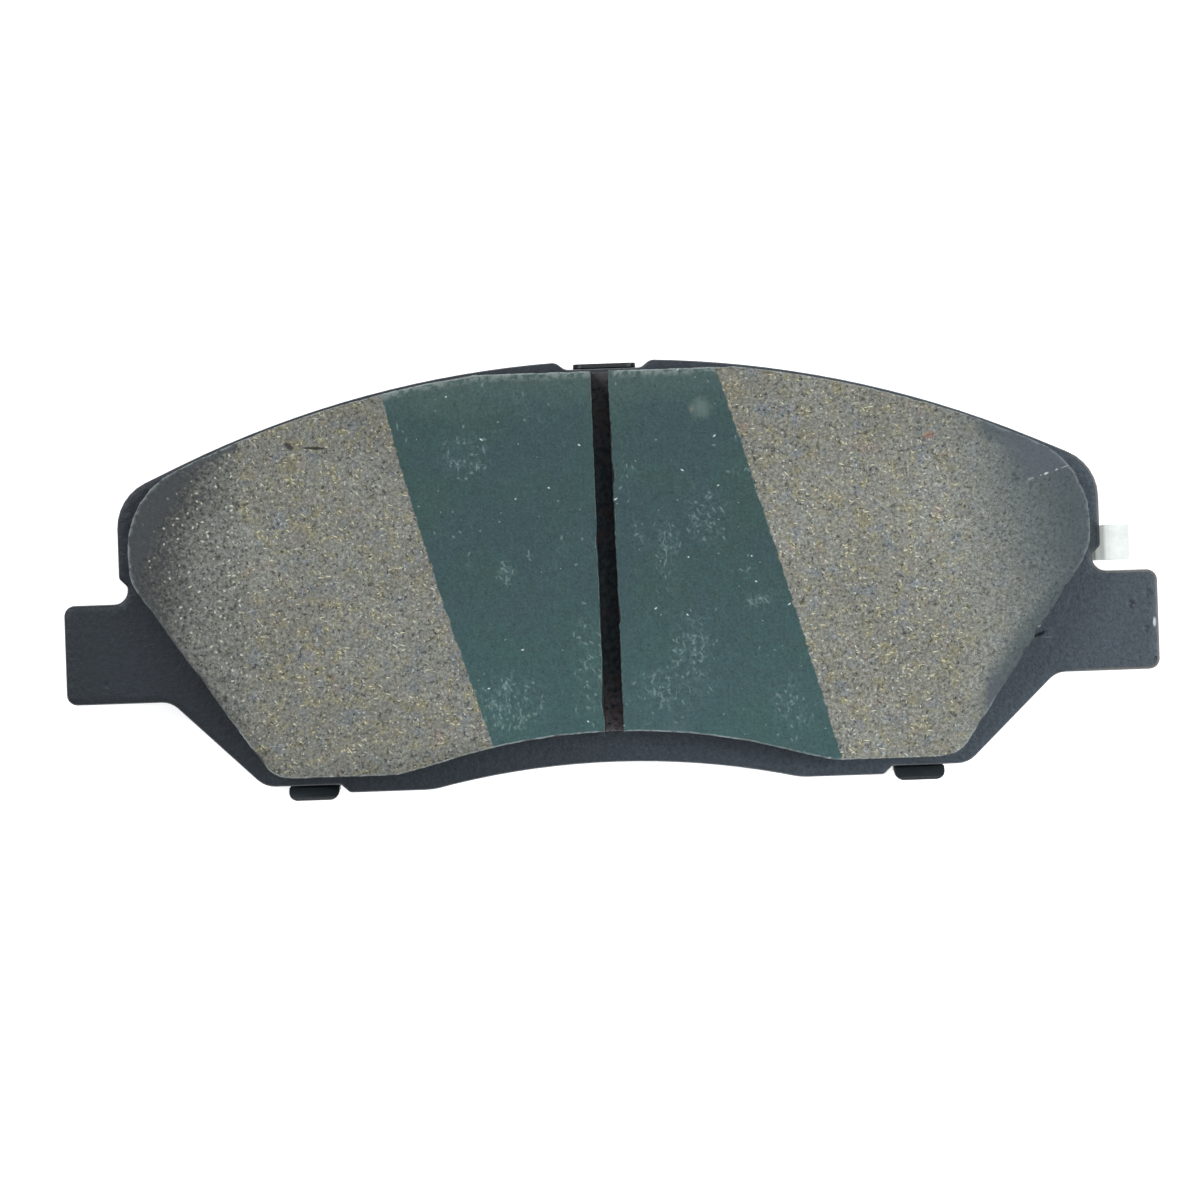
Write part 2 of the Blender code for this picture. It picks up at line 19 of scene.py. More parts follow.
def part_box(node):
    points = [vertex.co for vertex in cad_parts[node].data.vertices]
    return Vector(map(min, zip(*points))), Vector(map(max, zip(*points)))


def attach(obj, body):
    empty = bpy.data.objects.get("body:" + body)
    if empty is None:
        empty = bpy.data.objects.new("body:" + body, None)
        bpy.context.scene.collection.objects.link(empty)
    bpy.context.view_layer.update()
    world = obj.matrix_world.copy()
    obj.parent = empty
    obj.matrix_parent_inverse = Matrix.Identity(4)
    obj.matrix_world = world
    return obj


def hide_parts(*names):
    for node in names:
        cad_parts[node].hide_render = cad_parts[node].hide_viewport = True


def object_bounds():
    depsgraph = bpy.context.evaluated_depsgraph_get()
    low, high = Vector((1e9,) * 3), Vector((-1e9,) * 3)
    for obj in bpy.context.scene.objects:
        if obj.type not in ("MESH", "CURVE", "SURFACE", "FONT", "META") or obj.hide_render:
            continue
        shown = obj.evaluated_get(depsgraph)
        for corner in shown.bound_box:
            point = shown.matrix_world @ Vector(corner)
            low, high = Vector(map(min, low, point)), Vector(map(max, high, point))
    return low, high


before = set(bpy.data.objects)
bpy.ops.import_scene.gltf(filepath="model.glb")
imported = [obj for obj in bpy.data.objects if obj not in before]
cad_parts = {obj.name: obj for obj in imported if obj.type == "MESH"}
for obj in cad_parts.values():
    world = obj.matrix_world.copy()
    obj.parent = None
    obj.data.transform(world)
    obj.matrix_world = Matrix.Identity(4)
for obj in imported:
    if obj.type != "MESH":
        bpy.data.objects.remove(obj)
cad_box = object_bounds()

MM = 0.001
WELD = 0.001

# ---- places read from the frame -----------------------------------------------------


def box_mm(node):
    """A CAD node's lowest and highest corners in mm."""
    low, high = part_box(node)
    return low / MM, high / MM


PLATE_LOW, PLATE_HIGH = box_mm("backing_plate")
LEFT_LOW, LEFT_HIGH = box_mm("friction_block_left")
RIGHT_LOW = box_mm("friction_block_right")[0]
UNDERLAYER_TOP = box_mm("underlayer")[1].z
INDICATOR_BOTTOM = box_mm("wear_indicator")[0].y

PLATE_BACK = PLATE_LOW.z
PLATE_FRONT = PLATE_HIGH.z
FRICTION_BASE = LEFT_LOW.z
FRICTION_FACE = LEFT_HIGH.z
FACE_MIDDLE_Y = (LEFT_LOW.y + LEFT_HIGH.y) / 2
SLOT_X = (LEFT_HIGH.x + RIGHT_LOW.x) / 2

# The middle of the ears: how far below the indicator's lower end it is, and its height
# above the middle of the friction face.
EAR_BELOW_INDICATOR = 9.05
EAR_HEIGHT = INDICATOR_BOTTOM - EAR_BELOW_INDICATOR - FACE_MIDDLE_Y

# As in the CAD: the end chamfers of the friction face, the underlayer's thickness and
# the gap for the bond between two layers.
CHAMFER_START_X = 54.5
CHAMFER_SLOPE = math.tan(math.radians(11.5))
UNDERLAYER_THICKNESS = 1.5
BOND_GAP = 0.2

# ---- mesh tools ---------------------------------------------------------------------

# How far from a level a vertex on it may be, and the angles between faces that count as
# flat, that are shaded smooth and that are rounded.
ON_LEVEL = 0.005
FLAT_WITHIN = math.radians(0.5)
SMOOTH_BELOW = math.radians(32)
ROUNDED_ABOVE = math.radians(30)


def cleaned(node):
    """A CAD node's mesh, welded, with its flat faces whole, as a bmesh in mm."""
    work = bmesh.new()
    work.from_mesh(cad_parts[node].data)
    bmesh.ops.scale(work, vec=(1 / MM, 1 / MM, 1 / MM), verts=work.verts)
    bmesh.ops.remove_doubles(work, verts=work.verts, dist=WELD)
    bmesh.ops.dissolve_limit(work, angle_limit=FLAT_WITHIN, verts=work.verts,
                             edges=work.edges)
    return work


def finished(work, name, node, materials):
    """Makes a bmesh in mm the piece that stands for a CAD node."""
    bmesh.ops.recalc_face_normals(work, faces=work.faces)
    bmesh.ops.scale(work, vec=(MM, MM, MM), verts=work.verts)
    mesh = bpy.data.meshes.new(name)
    work.to_mesh(mesh)
    work.free()
    mesh.shade_smooth()
    mesh.set_sharp_from_angle(angle=SMOOTH_BELOW)
    for made in materials:
        mesh.materials.append(made)
    piece = bpy.data.objects.new(name, mesh)
    bpy.context.scene.collection.objects.link(piece)
    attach(piece, "root")
    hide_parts(node)
    return piece


def rounded_edges(piece, width, segments):
    bevel = piece.modifiers.new("rounded_edges", "BEVEL")
    bevel.width = width * MM
    bevel.segments = segments
    bevel.limit_method = "ANGLE"
    bevel.angle_limit = ROUNDED_ABOVE
    bevel.harden_normals = True
    bevel.use_clamp_overlap = True


def dressed(node, name, material, bevel, segments=2, moves=()):
    """The piece that keeps a CAD node's own shape, with its edges rounded. moves gives
    the levels whose vertices move to another level, to close a bond line."""
    work = cleaned(node)
    for old, new in moves:
        for vert in work.verts:
            if abs(vert.co.z - old) < ON_LEVEL:
                vert.co.z = new
    piece = finished(work, name, node, [material])
    if bevel:
        rounded_edges(piece, bevel, segments)


def rims(node, level):
    """The loops round a CAD node's flat face on a level, the longest first, each an
    array of (x, y) that runs with the material on its left."""
    work = cleaned(node)
    following = {}
    for edge in work.edges:
        if any(abs(vert.co.z - level) > ON_LEVEL for vert in edge.verts):
            continue
        flat = [face for face in edge.link_faces
                if all(abs(vert.co.z - level) < ON_LEVEL for vert in face.verts)]
        if len(flat) == 1:
            start = [loop.vert for loop in flat[0].loops if loop.edge == edge][0]
            end = edge.other_vert(start)
            if flat[0].normal.z < 0:
                start, end = end, start
            following[start] = end
    loops = []
    while following:
        start, point = following.popitem()
        loop = [start.co.xy[:]]
        while point != start:
            loop.append(point.co.xy[:])
            point = following.pop(point)
        loops.append(np.array(loop))
    work.free()
    return sorted(loops, key=lambda loop: -np.ptp(loop[:, 0]))


def spaced(loop, spacing):
    """The loop with extra points, so that none are further apart than spacing."""
    points = []
    for start, end in zip(loop, np.roll(loop, -1, axis=0)):
        steps = max(1, math.ceil(np.linalg.norm(end - start) / spacing))
        for step in range(steps):
            points.append(start + (end - start) * step / steps)
    return np.array(points)


def into_material(loop):
    """Unit vectors at a loop's points that point into the material on its left."""
    along = np.roll(loop, -1, axis=0) - np.roll(loop, 1, axis=0)
    along /= np.linalg.norm(along, axis=1)[:, None]
    return np.stack([-along[:, 1], along[:, 0]], axis=1)


def inside(points, loop):
    """Which points a loop goes round."""
    found = np.zeros(len(points), bool)
    x, y = points[:, 0], points[:, 1]
    for (x0, y0), (x1, y1) in zip(loop, np.roll(loop, -1, axis=0)):
        if y0 == y1:
            continue
        crosses = (y0 > y) != (y1 > y)
        found ^= crosses & (x < (x1 - x0) * (y - y0) / (y1 - y0) + x0)
    return found


def distance_to(points, loop, longest=np.inf):
    """Each point's distance to the nearest stretch of a loop that isn't longer than
    longest."""
    nearest = np.full(len(points), np.inf)
    for start, end in zip(loop, np.roll(loop, -1, axis=0)):
        run = end - start
        if np.linalg.norm(run) > longest:
            continue
        share = ((points - start) @ run) / max(run @ run, 1e-9)
        foot = start + np.clip(share, 0, 1)[:, None] * run
        nearest = np.minimum(nearest, np.linalg.norm(points - foot, axis=1))
    return nearest


def grid_inside(loops, spacing, seed):
    """Scattered points on a grid, inside the first loop and outside the others."""
    outer = loops[0]
    low = outer.min(axis=0)
    high = outer.max(axis=0)
    xs = np.arange(low[0], high[0], spacing)
    ys = np.arange(low[1], high[1], spacing)
    points = np.stack(np.meshgrid(xs, ys), axis=-1).reshape(-1, 2)
    points += np.random.default_rng(seed).uniform(-0.3, 0.3, points.shape) * spacing
    keep = inside(points, outer)
    for hole in loops[1:]:
        keep &= ~inside(points, hole)
    points = points[keep]
    for loop in loops:
        points = points[distance_to(points, loop) > spacing * 0.6]
    return points


def sheet_faces(loops, extra):
    """The flat area between loops, with extra points inside it, as triangles: places,
    faces, the given points that each place comes from, and how many points loops have."""
    points = [Vector(point) for loop in loops for point in loop]
    edges = []
    first = 0
    for loop in loops:
        count = len(loop)
        edges += [(first + i, first + (i + 1) % count) for i in range(count)]
        first += count
    rim_count = len(points)
    points += [Vector(point) for point in extra]
    made = delaunay_2d_cdt(points, edges, [], 4, 0.0001)
    return made[0], made[2], made[3], rim_count


def slab(loops, rows, spacing, relief, seed):
    """A solid between two flat faces. Each row from the back to the front is a function
    that gives its loops' points as (x, y, z); relief gives the front face's height at
    (x, y). Returns the bmesh, with a float layer "rim" that is 1 on the front's edge and
    on the row below it, and 0 elsewhere."""
    work = bmesh.new()
    rim = work.verts.layers.float.new("rim")
    rings = []
    for row in rows:
        rings.append([[work.verts.new(point) for point in row(index, loop)]
                      for index, loop in enumerate(loops)])
    for lower, upper in zip(rings, rings[1:]):
        for low_loop, high_loop in zip(lower, upper):
            count = len(low_loop)
            for i in range(count):
                j = (i + 1) % count
                work.faces.new((low_loop[i], low_loop[j], high_loop[j], high_loop[i]))
    for ring, is_front in ((rings[0], False), (rings[-1], True)):
        flat = [np.array([vert.co.xy[:] for vert in loop]) for loop in ring]
        extra = grid_inside(flat, spacing, seed) if is_front else []
        places, faces, origins, rim_count = sheet_faces(flat, extra)
        known = [vert for loop in ring for vert in loop]
        verts = []
        for place, origin in zip(places, origins):
            source = origin[0] if origin else -1
            if 0 <= source < rim_count:
                verts.append(known[source])
            else:
                x, y = place
                height = relief(x, y) if is_front else known[0].co.z
                verts.append(work.verts.new((x, y, height)))
        for face in faces:
            corners = [verts[i] for i in face]
            if len(set(corners)) == 3:
                work.faces.new(corners if is_front else corners[::-1])
    for loop in rings[-1] + rings[-2]:
        for vert in loop:
            vert[rim] = 1.0
    loose = [vert for vert in work.verts if not vert.link_faces]
    bmesh.ops.delete(work, geom=loose, context="VERTS")
    return work


# ---- shader tools -------------------------------------------------------------------


def srgb(red, green, blue):
    """A colour given as display values from 0 to 255, as the renderer's linear one."""
    def decoded(value):
        value /= 255
        return value / 12.92 if value <= 0.04045 else ((value + 0.055) / 1.055) ** 2.4
    return (decoded(red), decoded(green), decoded(blue), 1.0)


# The functions below add nodes to the node tree that their sockets belong to, and give
# back the output sockets. Each value is a number or a socket.


def feed(socket, value):
    if isinstance(value, bpy.types.NodeSocket):
        socket.id_data.links.new(value, socket)
    else:
        socket.default_value = value[:3] if socket.type == "VECTOR" else value


def new_node(tree, kind, *values, **settings):
    """A new node with these settings, its first inputs fed with the values."""
    node = tree.nodes.new("ShaderNode" + kind)
    for name, value in settings.items():
        setattr(node, name, value)
    for socket, value in zip(node.inputs, values):
        feed(socket, value)
    return node


def tree_of(*values):
    return next(value.id_data for value in values
                if isinstance(value, bpy.types.NodeSocket))


def worked(operation, *values):
    """The result of a Math node."""
    return new_node(tree_of(*values), "Math", *values, operation=operation).outputs[0]


def add(*values):
    return reduce(lambda total, value: worked("ADD", total, value), values)


def mul(*values):
    return reduce(lambda total, value: worked("MULTIPLY", total, value), values)


def sub(first, second):
    return worked("SUBTRACT", first, second)


def inverse(value):
    return sub(1.0, value)


def most(first, second):
    return worked("MAXIMUM", first, second)


def linear(value, slope, start):
    return worked("MULTIPLY_ADD", value, slope, start)


def vector(operation, *values):
    """The result of a VectorMath node."""
    node = new_node(tree_of(*values), "VectorMath", *values, operation=operation)
    return node.outputs["Value" if operation == "LENGTH" else "Vector"]


def scaled(value, factor):
    """A vector or a colour times a factor."""
    node = new_node(tree_of(value, factor), "VectorMath", value, operation="SCALE")
    feed(node.inputs["Scale"], factor)
    return node.outputs["Vector"]


def parts(value):
    return tuple(new_node(tree_of(value), "SeparateXYZ", value).outputs)


def joined(x, y):
    return new_node(tree_of(x, y), "CombineXYZ", x, y).outputs[0]


def turned(value, angle):
    """A vector turned about Z by an angle in radians."""
    node = new_node(tree_of(value), "VectorRotate", value, rotation_type="Z_AXIS")
    feed(node.inputs["Angle"], angle)
    return node.outputs[0]


def ramp(value, start, end):
    """0 at start, 1 at end, smooth between."""
    return new_node(tree_of(value), "MapRange", value, start, end,
                    interpolation_type="SMOOTHSTEP").outputs[0]


def contrast(value, slope):
    """A factor with a mean of 1, at least 0.2, from noise with a mean of 0.5."""
    return most(linear(value, slope, 1.0 - slope / 2), 0.2)


def mix(factor, below, above):
    """Colour below where factor is 0, above where it is 1."""
    node = new_node(tree_of(factor), "Mix", factor, data_type="RGBA")
    feed(node.inputs[6], below)
    feed(node.inputs[7], above)
    return node.outputs[2]


def over(colour, paint, *shares):
    """The colour with paint over it, as much as the product of the shares says."""
    return mix(mul(*shares), colour, paint)


class Graph:
    """A procedural material. place is a point of the surface in mm, x and y are parts of
    it, and height is how far it lies above the middle of the friction face, seen from
    the front."""

    def __init__(self, name):
        self.material = bpy.data.materials.new(name)
        self.material.use_nodes = True
        self.tree = self.material.node_tree
        self.shader = self.tree.nodes["Principled BSDF"]
        self.place = scaled(new_node(self.tree, "TexCoord").outputs["Object"], 1 / MM)
        self.x, self.y, _ = parts(self.place)
        self.height = sub(self.y, FACE_MIDDLE_Y)

    def set(self, **sockets):
        """Sets shader sockets, such as base_color or roughness, to values or sockets."""
        for name, value in sockets.items():
            title = name.replace("_", " ").title().replace("Ior", "IOR")
            feed(self.shader.inputs[title], value)

    def from_spot(self, x, height, half_length, half_width, degrees=0.0):
        """How far a place is from the middle of an ellipse that points degrees from X:
        1 on the ellipse."""
        offset = joined(sub(self.x, x), sub(self.height, height))
        if degrees:
            offset = turned(offset, -math.radians(degrees))
        shares = (1 / half_length, 1 / half_width, 1.0)
        return vector("LENGTH", vector("MULTIPLY", offset, shares))

    def noise(self, per_mm, detail=2.0, roughness=0.5, shift=0.0, place=None):
        """Noise from 0 to 1 with per_mm waves to the millimetre."""
        place = self.place if place is None else place
        if shift:
            place = vector("ADD", place, (shift, shift * 0.7, shift * 0.4))
        node = new_node(self.tree, "TexNoise", place)
        node.inputs["Scale"].default_value = per_mm
        node.inputs["Detail"].default_value = detail
        node.inputs["Roughness"].default_value = roughness
        return node.outputs["Fac"]

    def clouds(self, start, end, per_mm, *noise, **more):
        """Patches of noise: 0 where it is at start, 1 where it is at end."""
        return ramp(self.noise(per_mm, *noise, **more), start, end)

    def attribute(self, name):
        return new_node(self.tree, "Attribute", attribute_name=name).outputs["Fac"]

    def normal(self):
        """The parts of the surface's normal."""
        return parts(new_node(self.tree, "NewGeometry").outputs["Normal"])

    def up(self):
        """How far the surface faces up: 1 on a level face, 0 on a wall."""
        return self.normal()[2]

    def grains(self, per_mm, half_length, half_width, spread, share, shift=0.0, lean=0.0,
               softness=0.5):
        """Short straight grains seen from above, one to a cell. Gives the mask, and a
        random number for each grain. spread is the range of their directions about the
        angle lean from X, in radians, and share is how many of the cells have one: a
        value or a socket."""
        flat = joined(add(self.x, shift), add(self.y, shift * 1.3))
        cells = new_node(self.tree, "TexVoronoi", flat, voronoi_dimensions="2D")
        cells.inputs["Scale"].default_value = per_mm
        chance, size, tint = new_node(self.tree, "SeparateColor",
                                      cells.outputs["Color"]).outputs
        offset = vector("SUBTRACT", flat, cells.outputs["Position"])
        angle = linear(sub(tint, 0.5), spread, -lean)
        along, across, _ = parts(turned(offset, angle))
        along = worked("DIVIDE", along, mul(add(0.5, size), half_length))
        across = worked("DIVIDE", across, half_width)
        reach = worked("SQRT", add(mul(along, along), mul(across, across)))
        here = worked("LESS_THAN", chance, share)
        return mul(ramp(reach, 0.9 + softness, 0.9 - softness), here), size

    def bump(self, height):
        """Bump from a height in mm."""
        node = new_node(self.tree, "Bump")
        node.inputs["Distance"].default_value = MM
        node.inputs["Strength"].default_value = 1.0
        feed(node.inputs["Height"], height)
        feed(self.shader.inputs["Normal"], node.outputs[0])


# ---- the friction material ----------------------------------------------------------

# For the left block (-1) and the right one (1): the slate colour that its end darkens to,
# its mould coat, and a factor on its compound's colour that is painted light, lighter on
# the right block and darker on the left.
SLATE = {-1: srgb(56, 60, 62), 1: srgb(74, 84, 88)}
COAT = {-1: srgb(57, 62, 66), 1: srgb(76, 83, 90)}
SIDE_LIGHT_TONE = {-1: 0.93, 1: 1.07}

# The painted stripe's sides: x in the face's middle, slope and curve over the height.
STRIPE_LEFT = (-26.10, -0.286, 0.0011)
STRIPE_RIGHT = (25.34, -0.287, -0.0003)

# Where the paint is rubbed: x, height, radius, how much and to what colour.
RUBBED_SPOTS = (
    (14.3, 23.4, 2.2, 0.42, srgb(118, 134, 126)),
    (12.7, 23.2, 0.4, 0.60, srgb(150, 134, 116)),
    (9.0, -24.6, 2.4, 0.24, srgb(96, 116, 116)),
)

# Where the paint is scratched: x, height, half width, half height and how much.
SCRATCHED = (
    (-20.9, 17.8, 3.4, 3.2, 0.9),
    (-15.3, -0.2, 1.4, 1.8, 0.9),
    (-15.6, -19.8, 5.0, 4.6, 1.0),
    (-3.6, -14.5, 2.2, 7.5, 0.8),
    (14.7, 7.5, 3.0, 4.2, 0.7),
    (8.6, 2.6, 1.8, 5.6, 0.8),
    (11.5, -12.2, 2.8, 5.6, 0.9),
    (8.2, -18.2, 5.6, 3.2, 0.9),
    (26.2, -21.2, 3.0, 5.0, 0.6),
    (22.2, -5.2, 3.0, 1.8, 0.6),
)

# Marks on the ground faces: x, height, half length, half width, direction from X in
# degrees, how strong, and the colour.
MARKS = (
    (-43.2, 19.4, 2.00, 0.22, -3.0, 0.95, srgb(46, 46, 44)),
    (-46.9, 19.8, 0.90, 0.50, -40.0, 0.90, srgb(50, 49, 50)),
    (-46.4, 18.5, 0.36, 0.16, 25.0, 0.80, srgb(196, 192, 156)),
    (-42.3, 20.6, 0.95, 0.42, 0.0, 0.26, srgb(182, 174, 130)),
    (48.0, 18.3, 0.95, 0.75, 20.0, 0.45, srgb(150, 108, 94)),
    (47.2, 17.6, 0.35, 0.30, 0.0, 0.55, srgb(92, 72, 66)),
    (41.0, 24.2, 1.60, 0.16, -14.0, 0.50, srgb(84, 84, 78)),
    (63.2, 16.9, 0.55, 0.10, -62.0, 0.55, srgb(150, 152, 140)),
    (63.55, -10.75, 0.38, 0.30, 0.0, 0.80, srgb(160, 166, 162)),
)

# The hollow below the crumb that has broken off at the right block's end, painted
# near-black as its shade: x, height, half length, half width and direction.
HOLLOW_SHADE_SPOT = (64.1, -11.9, 1.05, 0.30, 20.0)
HOLLOW_SHADE_COLOUR = srgb(12, 13, 15)

# The bright dashes along the right block's crease: x, half length, half width and how
# strong.
CREASE_DASHES = (
    (62.9, 0.55, 0.20, 0.25),
    (64.5, 0.14, 0.10, 0.45),
    (65.3, 0.36, 0.17, 0.90),
    (66.9, 0.24, 0.13, 0.60),
    (68.2, 0.70, 0.08, 0.40),
)


def stripe_mask(graph):
    """1 inside the slanting painted stripe across both blocks, with ragged sides."""
    square = mul(graph.height, graph.height)
    waver = mul(sub(graph.noise(0.9, 3.0, shift=5.0), 0.5), 0.9)

    def side(start, slope, curve):
        return add(start, mul(graph.height, slope), mul(square, curve), waver)

    past_left = sub(graph.x, side(*STRIPE_LEFT))
    before_right = sub(side(*STRIPE_RIGHT), graph.x)
    return mul(ramp(past_left, -0.12, 0.16), ramp(before_right, -0.12, 0.16))


def compound_colour(graph, kept):
    """Ground friction compound: a coarse salt and pepper of greys, olive and bluish
    patches, dark pores and pale brass fibres. kept is how much the fibres show. Gives
    the colour, its grain as a factor with a mean of 1, and the grain's relief in mm."""
    colour = mix(graph.clouds(0.35, 0.65, 0.07, 3.0), srgb(121, 121, 113),
                 srgb(129, 130, 123))
    cool = graph.clouds(0.52, 0.68, 0.30, 3.0, 0.65, shift=31.0)
    colour = over(colour, srgb(115, 122, 128), cool, 0.7)
    olive = graph.clouds(0.48, 0.68, 0.55, 3.0, 0.65, shift=67.0)
    colour = over(colour, srgb(133, 128, 101), olive, 0.7)
    rose = graph.clouds(0.58, 0.72, 0.40, 3.0, 0.65, shift=73.0)
    colour = over(colour, srgb(131, 118, 111), rose, 0.6)
    mottle = graph.noise(1.0, 2.0, 0.6)
    coarse = graph.noise(2.1, 2.0, 0.7, shift=4.0)
    fine = graph.noise(4.2, 2.0, 0.7, shift=9.0)
    grain = mul(contrast(mottle, 0.7), contrast(coarse, 2.3), contrast(fine, 1.5))
    pores = graph.clouds(0.40, 0.31, 1.7, 2.0, 0.55, shift=29.0)
    grain = mul(grain, inverse(mul(pores, 0.55)))
    colour = scaled(colour, grain)
    relief = add(mul(coarse, 0.10), mul(fine, 0.05), mul(pores, -0.07))
    gathered = mul(add(0.04, mul(olive, 0.38)), kept)
    scattered = mul(add(0.06, mul(olive, 0.14)), kept)
    layers = (
        (1.15, 0.24, 0.09, 1.7, gathered, 11.0, srgb(184, 176, 134), srgb(230, 226, 196)),
        (1.45, 0.16, 0.09, 3.0, scattered, 23.0, srgb(178, 172, 138), srgb(218, 214, 188)),
        (0.85, 0.32, 0.08, 1.3, scattered, 37.0, srgb(186, 178, 132), srgb(232, 228, 196)),
        (1.20, 0.14, 0.12, 6.0, 0.20, 53.0, srgb(160, 163, 158), srgb(196, 200, 194)),
    )
    for per_mm, length, width, spread, share, shift, dull, bright in layers:
        fibre, tint = graph.grains(per_mm, length, width, spread, share, shift, -0.30,
                                   0.55)
        colour = over(colour, mix(tint, dull, bright), fibre, 0.85)
        relief = add(relief, mul(fibre, 0.03))
    return colour, grain, relief


def scratched_area(graph):
    """How scratched the paint is: the worst of the patches, broken up by noise."""
    worst = mul(graph.clouds(0.50, 0.80, 0.10, shift=83.0), 0.35)
    for x, height, wide, tall, amount in SCRATCHED:
        patch = ramp(graph.from_spot(x, height, wide, tall), 1.5, 0.3)
        worst = most(worst, mul(patch, amount))
    broken = graph.clouds(0.35, 0.65, 0.45, 3.0, 0.6, shift=81.0)
    return mul(worst, add(0.35, broken))


def curved_hairs(graph, place, per_mm, width, shift):
    """Thin wandering lines, broken into short lengths."""
    bent = graph.noise(per_mm, shift=shift, place=place)
    line = ramp(worked("ABSOLUTE", sub(bent, 0.5)), width, width * 0.3)
    return mul(line, graph.clouds(0.46, 0.58, 0.8, 2.0, 0.6, shift=shift + 5.0))


def paint_colour(graph):
    """The stripe's worn blue-green paint: faint upright lines, scratched patches with
    pale smudges, crumbs, short strokes and wandering hairs, bright specks and rubbed
    spots."""
    tone = graph.noise(0.10, 3.0, shift=13.0)
    colour = mix(ramp(tone, 0.38, 0.64), srgb(43, 70, 74), srgb(42, 72, 71))
    lower = ramp(graph.height, 8.0, -26.0)
    colour = scaled(colour, linear(lower, 0.28, 0.97))
    edge_height = add(graph.height, mul(sub(tone, 0.5), 6.0))
    colour = over(colour, srgb(74, 94, 90), ramp(edge_height, 22.0, 28.5), 0.42)
    drawn = vector("MULTIPLY", turned(graph.place, math.radians(-6)), (1.0, 0.30, 1.0))
    coarse = graph.noise(2.2, 2.0, 0.65, shift=21.0)
    fine = graph.noise(4.0, 2.0, 0.6, shift=25.0)
    blotch = graph.noise(0.7, 3.0, 0.6, shift=27.0)
    lines = graph.noise(2.6, 2.0, 0.6, shift=77.0, place=drawn)
    grain = mul(contrast(coarse, 1.0), contrast(fine, 0.8), contrast(blotch, 0.5),
                contrast(lines, 0.5))
    colour = scaled(colour, grain)
    area = scratched_area(graph)
    haze = graph.clouds(0.46, 0.68, 1.1, 4.0, 0.75, shift=143.0)
    hairs = curved_hairs(graph, drawn, 0.45, 0.020, 141.0)
    wander = curved_hairs(graph, graph.place, 0.30, 0.012, 171.0)
    upright = math.radians(100)
    strokes, _ = graph.grains(0.80, 0.42, 0.12, 1.6, mul(area, 0.55), 87.0, upright, 0.7)
    crumbs, _ = graph.grains(1.0, 0.26, 0.18, 6.0, mul(area, 0.36), 93.0, upright, 0.8)
    dark, _ = graph.grains(0.5, 0.22, 0.16, 6.0, 0.30, shift=103.0)
    specks, _ = graph.grains(0.20, 0.20, 0.11, 2.0, 0.16, shift=99.0)
    dots, _ = graph.grains(0.34, 0.13, 0.09, 6.0, 0.16, shift=181.0)
    wear = (
        (mul(haze, area), 0.42, srgb(108, 132, 132)),
        (mul(hairs, area), 0.50, srgb(122, 148, 148)),
        (mul(wander, add(0.10, area)), 0.40, srgb(122, 146, 146)),
        (strokes, 0.42, srgb(134, 158, 156)),
        (crumbs, 0.42, srgb(134, 158, 156)),
        (dark, 0.50, srgb(30, 46, 50)),
        (specks, 0.90, srgb(206, 220, 214)),
        (dots, 0.60, srgb(146, 166, 162)),
    )
    for mask, amount, paint in wear:
        colour = over(colour, paint, mask, amount)
    rub = mul(graph.noise(1.1, 3.0, 0.65, shift=107.0), 2.5)
    for x, height, radius, amount, worn in RUBBED_SPOTS:
        away = add(graph.from_spot(x, height, 1.0, 1.0), rub)
        near = ramp(away, radius + 1.6, radius * 0.5)
        colour = over(colour, worn, near, amount)
    return colour


def marked(graph, colour):
    """The colour with the single marks drawn on it."""
    ragged = mul(graph.noise(2.4, 2.0, 0.6, shift=111.0), 0.9)
    for x, height, length, width, degrees, amount, paint in MARKS:
        reach = add(graph.from_spot(x, height, length, width, degrees), ragged)
        colour = over(colour, paint, ramp(reach, 1.6, 1.0), amount)
    return colour


def hollow_shade(graph):
    """1 in the hollow's painted shade, which lies partly on the block and partly on the
    plate.
    """
    ragged = mul(graph.noise(2.0, 2.0, 0.6, shift=113.0), 1.2)
    return ramp(add(graph.from_spot(*HOLLOW_SHADE_SPOT), ragged), 1.9, 1.1)


def dithered(graph, amount, seed):
    """An amount from 0 to 1 broken into grains, so that it fades through speckle."""
    grit = sub(graph.noise(1.9, 2.0, 0.65, shift=seed), 0.5)
    return ramp(linear(grit, 1.7, amount), 0.15, 0.85)


def left_coat(graph, from_edge):
    """The dark mould coat left along the upper edge of the left block's chamfer, widest
    round the corner. It ends in a straight line where the chamfer starts."""
    lower = mul(ramp(graph.height, -3.0, 10.0), 3.9)
    upper = mul(ramp(graph.height, 11.0, 17.5), -3.0)
    reach = add(0.4, lower, upper)
    band = dithered(graph, ramp(sub(from_edge, reach), 1.7, -1.7), 163.0)
    past = ramp(graph.x, -CHAMFER_START_X + 0.1, -CHAMFER_START_X - 0.1)
    return mul(band, past, ramp(graph.height, -5.0, 2.0))


def right_crease(graph):
    """How far a place lies above the crease across the right block's outer corner."""
    rise = linear(sub(graph.x, 62.2), 0.316, 11.05)
    return sub(graph.height, rise)


def right_coat(graph, waver):
    """The coat above the crease in the right block's corner, and on its toe."""
    above = ramp(right_crease(graph), -0.15, 0.15)
    lean = add(graph.x, mul(graph.height, 0.47), mul(waver, 0.8))
    beyond = ramp(lean, 64.6, 69.6)
    started = ramp(add(graph.x, mul(waver, 0.15)), 55.0, 55.5)
    low = ramp(add(graph.height, mul(waver, 0.3)), -16.0, -20.0)
    return most(mul(above, beyond), mul(started, low, 0.85))


def crease_line(graph, colour):
    """The bright, broken line along the crease."""
    above = right_crease(graph)
    ragged = mul(graph.noise(2.2, shift=131.0), 0.8)
    line = 0.0
    for x, length, width, amount in CREASE_DASHES:
        along = mul(sub(graph.x, x), 1 / length)
        reach = add(vector("LENGTH", joined(along, mul(above, 1 / width))), ragged)
        line = most(line, mul(ramp(reach, 1.7, 0.9), amount))
    return mix(line, colour, srgb(196, 204, 206))


